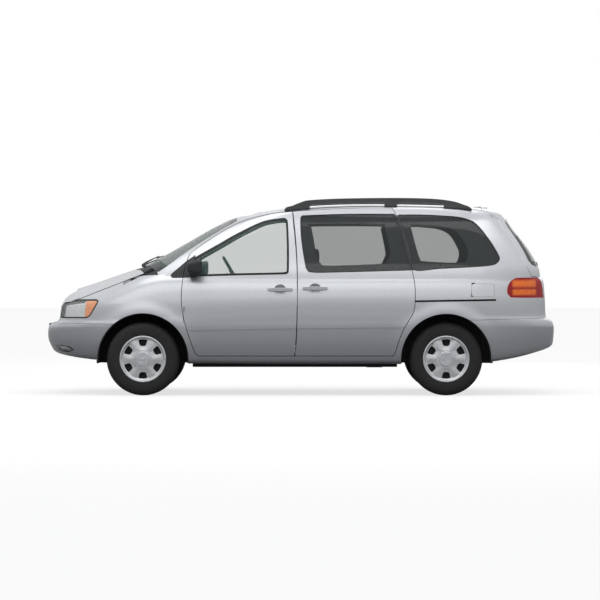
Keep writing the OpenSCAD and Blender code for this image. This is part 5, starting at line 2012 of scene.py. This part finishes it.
    def wipers(self) -> None:
        """Windscreen wipers and the rear wiper."""
        for name, root, tip, blade in (
            ("left", (-1462, -560), (-1330, -120), 520), ("right", (-1500, 90), (-1372, 470), 470),
        ):
            n = 9
            arm = self.arm(
                [
                    self.surface(
                        root[0] + (tip[0] - root[0]) * i / n, root[1] + (tip[1] - root[1]) * i / n, 26,
                    )
                    for i in range(n + 1)
                ],
                22, 14,
            )
            mid = tip
            rubber = self.arm(
                [
                    self.surface(mid[0] + 40 * (i / n - 0.5) + 8, mid[1] + blade * (i / n - 0.5), 13)
                    for i in range(n + 1)
                ],
                13, 16,
            )
            cap = turned([(0, 0), (17, 0), (18, 8), (14, 20), (0, 24)], 32)
            spot = self.surface(root[0], root[1], 6)
            cap.data.transform(Matrix.Translation(Vector(spot) * MM))
            dress(
                smooth(join("wiper", [arm, rubber, cap]), 40), "wiper_" + name, "body", BLACK_PLASTIC,
                "black_plastic",
            )
        line: list[Point3] = []
        for i in range(9):
            z = 1215 + 34 * math.sin(i / 8 * 1.2)
            hit, place, normal, _ = self.tools.keep("solid_0", lambda: self.tools.solid(0)).ray_cast(
                Vector((3000, 10 + 40 * i, z)) * MM, Vector((-1, 0, 0)),
            )
            spot = place / MM + normal * 20
            line.append((spot.x, spot.y, spot.z))
        arm = self.arm(line, 20, 14)
        cap = turned([(0, -16), (24, -16), (26, 0), (20, 14), (0, 18)], 32)
        cap.data.transform(
            Matrix.Translation(Vector(line[0]) * MM) @ Matrix.Rotation(math.radians(68), 4, "Y")
        )
        dress(smooth(join("wiper", [arm, cap]), 40), "wiper_rear", "liftgate", BLACK_PLASTIC, "black_plastic")

    def grille(self) -> None:
        """Dark grille between the headlamps: a painted frame with bars across."""
        t = self.tools
        zone = side([(-2600, 668), (-2600, 940), (-1990, 940), (-1990, 666), (-2150, 668)], *ACROSS)
        field_outline = [(-430, 700), (430, 700), (400, 812), (-400, 812)]
        mouth = prism(field_outline, -2600, -1900, "X")
        frame = without(
            within(t.shell(), zone), both_sides(block((-2700, -1300, 600), (-1500, -HEADLAMP_IN, 1000))),
        )
        frame = carve(frame, t.zone("hood_gap"), t.zone("head"))
        frame = boolean(frame, mouth, Cut.AWAY)
        dress(smooth(frame), "grille_frame", "body", PAINT, "paint", ("grille",))
        bars: list[Piece] = []
        for z in (712, 737, 762, 787):
            bars.append(within(t.skin(8, 26), block((-2600, -436, z), (-1900, 436, z + 11))))
        for y in range(-360, 361, 120):
            bars.append(within(t.skin(14, 24), block((-2600, y - 3, 696), (-1900, y + 3, 816))))
        bars.append(within(t.skin(40, 44), block((-2600, -436, 696), (-1900, 436, 816))))
        dress(
            smooth(join("bars", bars), weighted=False), "grille_bars", "body", BLACK_PLASTIC, "black_plastic",
        )
        mouth_bars = [within(t.skin(30, 36), block((-2450, -329, 419), (-2300, 329, 485)))]
        mouth_bars += [
            within(t.skin(10, 29), block((-2450, -329, z), (-2300, 329, z + 8)))
            for z in (436, 460)
        ]
        dress(smooth(join("bars", mouth_bars), weighted=False), "bumper_mouth", "body", LINER, "liner")

    def plates(self) -> None:
        """Blank plates on the CAD brackets."""
        for name, x, z, thick, body in (
            ("front_blank_plate", 0.4 - HALF_LEN, 592, 0.9, "body"),
            ("rear_blank_plate", 2312, 838, 1.6, "liftgate"),
        ):
            plate = prism(rounded(-148, z - 66, 148, z + 66, 10), x, x + thick, "X")
            dress(smooth(plate, weighted=False), name, body, PLATE, "paint")

    def fuel_door(self) -> None:
        """Fuel door with round corners."""
        t = self.tools
        obj = within(t.skin(0, 5), side(rounded(1588.6, 917.6, 1800.4, 1036.4, 25), -1300, -700))
        dress(smooth(obj), "fuel_flap", "fuel_door", PAINT, "paint", ("fuel_door",))

    def joint(self) -> None:
        """Rubber strip that closes the joint of the front and sliding doors."""
        edge = flow(B_LINE)
        strip = [(x - 0.3, z) for x, z in edge] + [(x + 2.5, z) for x, z in reversed(edge)]
        obj = within(self.tools.skin(28, 60), side(strip, *GLAZING))
        dress_whole(obj, "door_joint_seals", SEAL, "black_plastic")

    def sill_edge(self) -> None:
        """Black lower edge of the sills."""
        obj = prism([(-1000, 262), (905, 262), (905, 306), (-1000, 306)], -740, -700, "Y")
        dress_whole(bevelled(obj, 6, 2), "sill_edges", LINER, "liner", angle=40, weighted=True)


# ---------------------------------------------------------------- wheels
@dataclass
class Wheel:
    """Tyre and wheel cover about one axle, modelled once and copied to the four corners.

    Attributes:
        lugs: Tread blocks round the shoulder.
    """

    lugs: int = 78

    def tyre(self) -> Piece:
        """Tyre with grooves round the tread and notches across its shoulders."""
        half = 105.0
        section = [
            (193, -half + 26), (198, -half + 9), (224, -half + 1), (250, -half), (278, -half + 0.5),
            (300, -half + 4), (318, -half + 12), (329, -half + 20),
        ]
        section += [
            (335, -half + 29), (337.5, -half + 38), (339, -58), (331, -56), (331, -48), (339.7, -46),
            (340, -22), (332, -20), (332, -12), (340, -10),
        ]
        obj = turned(section + [(r, -z) for r, z in reversed(section)], self.lugs * 2, "tyre")
        for v in obj.data.vertices:
            r = math.hypot(v.co.x, v.co.y) / MM
            if r > 327 and 40 < abs(v.co.z) / MM < 92:
                turn = round(math.atan2(v.co.y, v.co.x) / (2 * math.pi) * self.lugs * 2)
                if turn % 2:
                    k = (r - 4.5) / r
                    v.co.x *= k
                    v.co.y *= k
            elif 224 < r < 240:
                v.co.z *= 0.985
        return obj

    def cover(self) -> Piece:
        """Wheel cover with six windows, raised spokes and a hub disc, its outer side towards +Z."""
        rings = [
            0, 14, 18, 21, 34, 56, 64, 70, 76, 84, 96, 110, 122, 136, 150, 164, 178, 188, 194, 200, 208, 214,
            217,
        ]
        count = 180
        points: list[Point3] = []

        def height(r: float, a: float) -> float:
            spoke = 0.5 - 0.5 * math.cos(6 * (a - math.pi / 2))
            h = 103 - 9 * (r / 190) ** 2
            if r >= 76:
                k = max(0.0, min(1.0, (r - 84) / 26)) * max(0.0, min(1.0, (190 - r) / 14))
                h += k * (5.5 * spoke**1.6 - 5)
            if r < 70:
                h = 106.5
            if r < 18:
                h = 109
            elif r < 21:
                h = 104.5
            if r > 188:
                h = {194: 98.0, 200: 106.0, 208: 109.5, 214: 108.0, 217: 102.0}.get(r, 96.0)
            return h

        for r in rings:
            for i in range(count):
                a = 2 * math.pi * i / count
                points.append((r * math.cos(a), r * math.sin(a), height(r, a)))
        m = len(rings)
        back = [(r, 92 if r < 200 else 96) for r in (217, 190, 100, 0)]
        for r, h in back:
            points += [
                (r * math.cos(2 * math.pi * i / count), r * math.sin(2 * math.pi * i / count), h)
                for i in range(count)
            ]
        faces = []
        for k in range(m + len(back) - 1):
            for i in range(count):
                j = (i + 1) % count
                faces.append([k * count + i, (k + 1) * count + i, (k + 1) * count + j, k * count + j])
        obj = new_object("cover", points, faces)
        activate(obj)
        bpy.ops.object.mode_set(mode="EDIT")
        bpy.ops.mesh.select_all(action="SELECT")
        bpy.ops.mesh.remove_doubles(threshold=0.00001)
        bpy.ops.object.mode_set(mode="OBJECT")
        recalculate(obj)
        window = [
            (126, -27), (140, -33), (176, -42), (181, -24), (183, 0), (181, 24), (176, 42), (140, 33),
            (126, 27), (121, 14), (120, 0), (121, -14),
        ]
        for k in range(6):
            a = math.pi / 2 + k * math.pi / 3
            tool = prism(
                [
                    (x * math.cos(a) - y * math.sin(a), x * math.sin(a) + y * math.cos(a))
                    for x, y in grow(window, 0)
                ],
                60, 140, "Z",
            )
            bevelled(tool, 7, 3, 20)
            obj = boolean(obj, tool, Cut.AWAY)
        for k in range(4):
            a = k * math.pi / 2
            nut = turned([(0, 100), (9, 100), (11, 108.5), (9, 110), (6.5, 107), (0, 107)], 24)
            nut.data.transform(Matrix.Translation((45 * math.cos(a) * MM, 45 * math.sin(a) * MM, 0)))
            obj = boolean(obj, nut, Cut.ADD)
        return obj

    def rim(self) -> Piece:
        """Steel rim barrel and disc behind the cover."""
        return turned(
            [
                (176, -96), (190.5, -96), (190.5, 90), (186, 92), (182, 88), (182, 30), (40, 24), (40, 14),
                (176, 18),
            ],
            96,
        )

    def valve(self) -> Piece:
        """Tyre valve beside one window."""
        stem = turned([(0, 88), (4, 88), (4.2, 108), (3, 112), (0, 112)], 16)
        stem.data.transform(Matrix.Translation((-0.128, 0.140, 0)))
        return stem

    def build(self) -> None:
        """Builds the four wheels."""
        tyre, cover, rim, valve = self.tyre(), self.cover(), self.rim(), self.valve()
        for end, x in (("front", X_FRONT), ("rear", X_REAR)):
            for hand, y in (("left", -1), ("right", 1)):
                for model, name, finish, slot, node in (
                    (tyre, "tyre", TYRE, "tyre", "tyre"),
                    (cover, "wheel_cover", COVER, "wheel_cover", "rim"),
                    (rim, "rim_barrel", STEEL, "steel", None),
                    (valve, "valve", SEAL, "black_plastic", None),
                ):
                    one = copy_of(model, name)
                    turn = (
                        Matrix.Translation((x * MM, y * HALF_TRACK * MM, HUB_Z * MM))
                        @ Matrix.Rotation(math.radians(90 if y < 0 else -90), 4, "X")
                    )
                    one.data.transform(turn)
                    nodes = ("%s_%s_%s" % (node, end, hand),) if node else ()
                    angle = 28 if name != "tyre" else 35
                    dress(
                        smooth(one, angle), "%s_part_%s_%s" % (name, end, hand), "wheel_%s_%s" % (end, hand),
                        finish, slot, nodes,
                    )
        discard(tyre, cover, rim, valve)


# ---------------------------------------------------------------- cabin
@dataclass
class Seat:
    """One padded seat: cushion, back and head rests.

    Attributes:
        x: Front of its cushion.
        y: Middle of its width.
        width: Its width.
        base: Height of its lowest point.
        voxel: Size of the voxels that its pads are remeshed with, in metres.
    """

    x: float
    y: float
    width: float
    base: float
    voxel: float = 0.014

    def pad(
        self, name: str, low: Point3, high: Point3, lean: float = 0.0, crown: float = 16.0, seams: int = 2,
    ) -> Piece:
        """Crowned pad with sewn channels.

        Args:
            name: Name of the pad; not used.
            low: Its lowest corner.
            high: Its highest corner.
            lean: How far its top leans back.
            crown: How far its middle swells.
            seams: Sewn channels across its width.

        Returns:
            The pad.
        """
        size = [b - a for a, b in zip(low, high)]
        centre = [(a + b) / 2 for a, b in zip(low, high)]
        deselect()
        bpy.ops.mesh.primitive_cube_add(
            size=1, location=[c * MM for c in centre], scale=[s * MM for s in size],
        )
        obj = settle(bpy.context.object)
        bevelled(obj, min(size) * 0.28, 3)
        apply_modifier(obj, "REMESH", mode="VOXEL", voxel_size=self.voxel)
        for v in obj.data.vertices:
            u, w, h = ((v.co[i] / MM - centre[i]) / (size[i] / 2) for i in range(3))
            thin = min(range(3), key=lambda i: size[i])
            level = [(1 - a * a) for i, a in enumerate((u, w, h)) if i != thin]
            side_of = (u, w, h)[thin]
            push = crown * max(0.0, level[0]) ** 0.6 * max(0.0, level[1]) ** 0.6 - crown
            groove = 0.0
            for k in range(1, seams + 1):
                line = -1 + 2 * k / (seams + 1)
                groove += 9 * math.exp(-(((w - line) * size[1] / 2) ** 2) / 90)
            amount = (
                push - (groove if level[0] > 0.05 else 0)
            ) * (1 if side_of > 0 else -1) * abs(side_of) ** 2
            v.co[thin] += amount * MM * 0.8
            v.co.x += lean * (h + 1) / 2 * MM
        apply_modifier(obj, "SMOOTH", iterations=3, factor=0.5)
        return obj

    def build(self, name: str, slot_nodes: tuple[str, ...]) -> None:
        """Builds the seat's pads."""
        x, y, w, b = self.x, self.y, self.width, self.base
        seams = 5 if w > 800 else 2
        cushion = self.pad(
            name + "_cushion", (x + 4, y - w / 2 + 3, b + 122), (x + 516, y + w / 2 - 3, b + 268), 0, 14,
            seams,
        )
        back = self.pad(
            name + "_back", (x + 424, y - w / 2 + 3, b + 250), (x + 532, y + w / 2 - 3, b + 846), 160, 14,
            seams,
        )
        for k, obj in enumerate((cushion, back)):
            dress(
                smooth(obj, 60, False), name + ("_cushion", "_back")[k], "body", CLOTH, "seat_cloth",
                slot_nodes if k == 0 else (),
            )
        for k, offset in enumerate((-w / 2 + 200, w / 2 - 200) if w > 800 else (0,)):
            head = self.pad(
                "head", (x + 627, y + offset - 118, b + 868), (x + 703, y + offset + 118, b + 1034), 0, 12, 0,
            )
            dress(smooth(head, 60, False), "%s_head_%d" % (name, k), "body", CLOTH, "seat_cloth")
        base = block((x + 44, y - w / 2 + 54, b + 1), (x + 416, y + w / 2 - 54, b + 126))
        dress(smooth(bevelled(base, 14, 3), 50), name + "_base", "body", TRIM, "trim_grey")


@dataclass
class Cabin:
    """Seats, steering wheel and the dashboard's vents."""

    def build(self) -> None:
        """Builds the cabin."""
        seats = (
            (Seat(-520, -370, 500, 330.3), "driver_seat", ("front_seats",)),
            (Seat(-520, 370, 500, 330.3), "passenger_seat", ()),
        )
        seats += (
            (Seat(330, -370, 500, 395.3), "middle_seat_left", ("rear_seats",)),
            (Seat(330, 370, 500, 395.3), "middle_seat_right", ()),
        )
        seats += ((Seat(1000, 0, 1020, 396.3), "rear_bench", ()),)
        for seat, name, nodes in seats:
            seat.build(name, nodes)
        self.steering_wheel()
        self.dashboard()

    def steering_wheel(self) -> None:
        """Steering wheel with a grip ring, three spokes and a padded hub."""
        deselect()
        bpy.ops.mesh.primitive_torus_add(
            major_segments=64, minor_segments=16, major_radius=0.178, minor_radius=0.0128,
        )
        ring = settle(bpy.context.object)
        hub = turned([(0, -20), (46, -20), (57, -10), (56, 4), (44, 12), (0, 14)], 48)
        stalk = turned([(0, -63), (11.5, -63), (11.5, -16), (0, -16)], 32)
        parts = [ring, hub, stalk]
        for k in range(3):
            a = math.radians(60 + 120 * k)
            spoke = block((40, -15, -6), (172, 15, 5))
            bevelled(spoke, 4, 2)
            spoke.data.transform(Matrix.Rotation(a, 4, "Z"))
            parts.append(spoke)
        obj = join("wheel", parts)
        obj.data.transform(
            Matrix.Translation((-0.632, -0.370, 1.130)) @ Matrix.Rotation(math.radians(60), 4, "Y")
        )
        dress(
            smooth(obj, 40), "steering_wheel_rim", "steering_wheel", BLACK_PLASTIC, "black_plastic",
            ("steering_wheel",),
        )

    def dashboard(self) -> None:
        """Vents on the CAD dashboard."""
        parts = []
        for y in (-700, -160, -20, 640):
            for k in range(4):
                slat = block((-762 + k * 3, y, 1000 + k * 13), (-716, y + 120, 1006 + k * 13))
                parts.append(bevelled(slat, 2, 1))
        dress(smooth(join("vents", parts), 40), "dashboard_vents", "body", BLACK_PLASTIC, "black_plastic")


# ---------------------------------------------------------------- studio
@dataclass
class Studio:
    """Camera, floor and light."""

    lens: float = 181.6
    shift: float = -0.0383
    distance: float = 28.93
    height: float = 1.1

    def camera(self) -> None:
        """Adds the camera level with the window line, square to the left side."""
        data = bpy.data.cameras.new("camera")
        data.lens, data.sensor_width, data.shift_y = self.lens, 36, self.shift
        data.clip_end = 200
        data.dof.use_dof = False
        obj = bpy.data.objects.new("camera", data)
        obj.location = (0, -self.distance, self.height)
        obj.rotation_euler = (math.radians(90), 0, 0)
        bpy.context.collection.objects.link(obj)
        bpy.context.scene.camera = obj

    def floor(self) -> None:
        """Adds the plain floor."""
        deselect()
        bpy.ops.mesh.primitive_plane_add(size=160)
        obj = bpy.context.object
        obj.name = "floor"
        obj.data.materials.append(self.floor_finish())

    def floor_finish(self) -> bpy.types.Material:
        """Matt floor lit from below as a light table is, which throws little light back on the body."""
        mat = bpy.data.materials.new("light table, opal acrylic")
        mat.use_nodes = True
        tree = mat.node_tree
        tree.nodes.clear()
        matt = add(tree, "ShaderNodeBsdfDiffuse", {"Color": colour("#8C8C8C")}).outputs[0]
        glow = add(tree, "ShaderNodeEmission", {"Color": (1, 1, 1, 1), "Strength": 0.72}).outputs[0]
        ray = add(tree, "ShaderNodeLightPath").outputs["Is Camera Ray"]
        both = add(tree, "ShaderNodeAddShader", {0: matt, 1: glow}).outputs[0]
        seen = add(tree, "ShaderNodeMixShader", {0: ray, 1: matt, 2: both}).outputs[0]
        add(tree, "ShaderNodeOutputMaterial", {"Surface": seen})
        return mat

    def light(self) -> None:
        """Adds the white surroundings and the overhead softboxes."""
        bpy.context.scene.view_settings.view_transform = "Standard"
        world = bpy.data.worlds.new("studio")
        bpy.context.scene.world = world
        world.use_nodes = True
        tree = world.node_tree
        tree.nodes.clear()
        place = add(tree, "ShaderNodeTexCoord").outputs["Generated"]
        up = add(tree, "ShaderNodeSeparateXYZ", {0: place}).outputs["Z"]
        level = add(tree, "ShaderNodeMapRange", {"Value": up, 1: -0.3, 2: 0.55, 3: 0.0, 4: 1.0}).outputs[0]
        sky = ramp(tree, level, ((0.0, "#5E5F60"), (0.34, "#8E8F91"), (0.46, "#D4D5D7"), (1.0, "#F4F5F6")))
        ray = add(tree, "ShaderNodeLightPath").outputs["Is Camera Ray"]
        seen = add(tree, "ShaderNodeMix", {0: ray, 6: sky, 7: (1, 1, 1, 1)}, data_type="RGBA").outputs[2]
        ground = add(tree, "ShaderNodeBackground", {"Color": seen, "Strength": 1.0})
        add(tree, "ShaderNodeOutputWorld", {"Surface": ground.outputs[0]})
        for name, place, size, power, aim in (
            ("top", (0, -2.5, 7.5), (9, 5), 210, (0, 0, 0.8)),
            ("left", (-2, -11, 5.5), (12, 3), 135, (0, 0, 0.9)),
            ("back", (3, 9, 4.5), (10, 4), 120, (0, 0, 0.9)),
        ):
            data = bpy.data.lights.new(name, "AREA")
            data.shape, data.size, data.size_y, data.energy = "RECTANGLE", size[0], size[1], power
            lamp = bpy.data.objects.new("light_" + name, data)
            lamp.location = place
            lamp.rotation_euler = (Vector(aim) - Vector(place)).to_track_quat("-Z", "Y").to_euler()
            bpy.context.collection.objects.link(lamp)

    def build(self) -> None:
        """Adds all of it."""
        self.camera()
        self.floor()
        self.light()


def dress_frame(frame: dict[str, Any]) -> None:
    """Gives every CAD node that stays in sight its finish.
    """
    looks: dict[str, Finish] = {
        "black_plastic": BLACK_PLASTIC,
        "trim_grey": TRIM,
        "cast_metal": IRON,
        "liner": LINER,
        "steel": STEEL,
        "paint": PAINT,
        "bumper_paint": BUMPER_PAINT,
        "clear_glass": CLEAR_GLASS,
        "dark_glass": DARK_GLASS,
        "lamp_clear": LAMP_LENS,
        "lamp_red": TAIL_LENS,
        "tyre": TYRE,
        "wheel_cover": COVER,
        "seat_cloth": CLOTH,
        "rail_grey": RAIL,
    }
    slots = {part["node"]: part["material_slot"] for part in frame["record"]["subparts"]}
    for name, obj in frame["nodes"].items():
        # The hinges that show on the roof and the doors are sprayed with the body
        look = PAINT if name.startswith(("gate_hinge", "door_hinge")) else looks[slots[name]]
        material = look.material()
        if not obj.material_slots:
            obj.data.materials.append(material)
        for holder in obj.material_slots:
            holder.material = material


def main() -> None:
    """Builds the minivan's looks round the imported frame."""
    logging.basicConfig(level=logging.INFO, format="%(message)s")
    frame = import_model()
    deselect()
    Studio().build()
    dress_frame(frame)
    tools = BodyTools()
    Panels(tools).build()
    Windows(tools).build()
    Lamps(tools).build()
    FogLamps().build(tools)
    Handles(tools).build()
    Trim(tools).build()
    tools.clear()
    Wheel().build()
    Cabin().build()


if __name__ == "__main__":
    main()
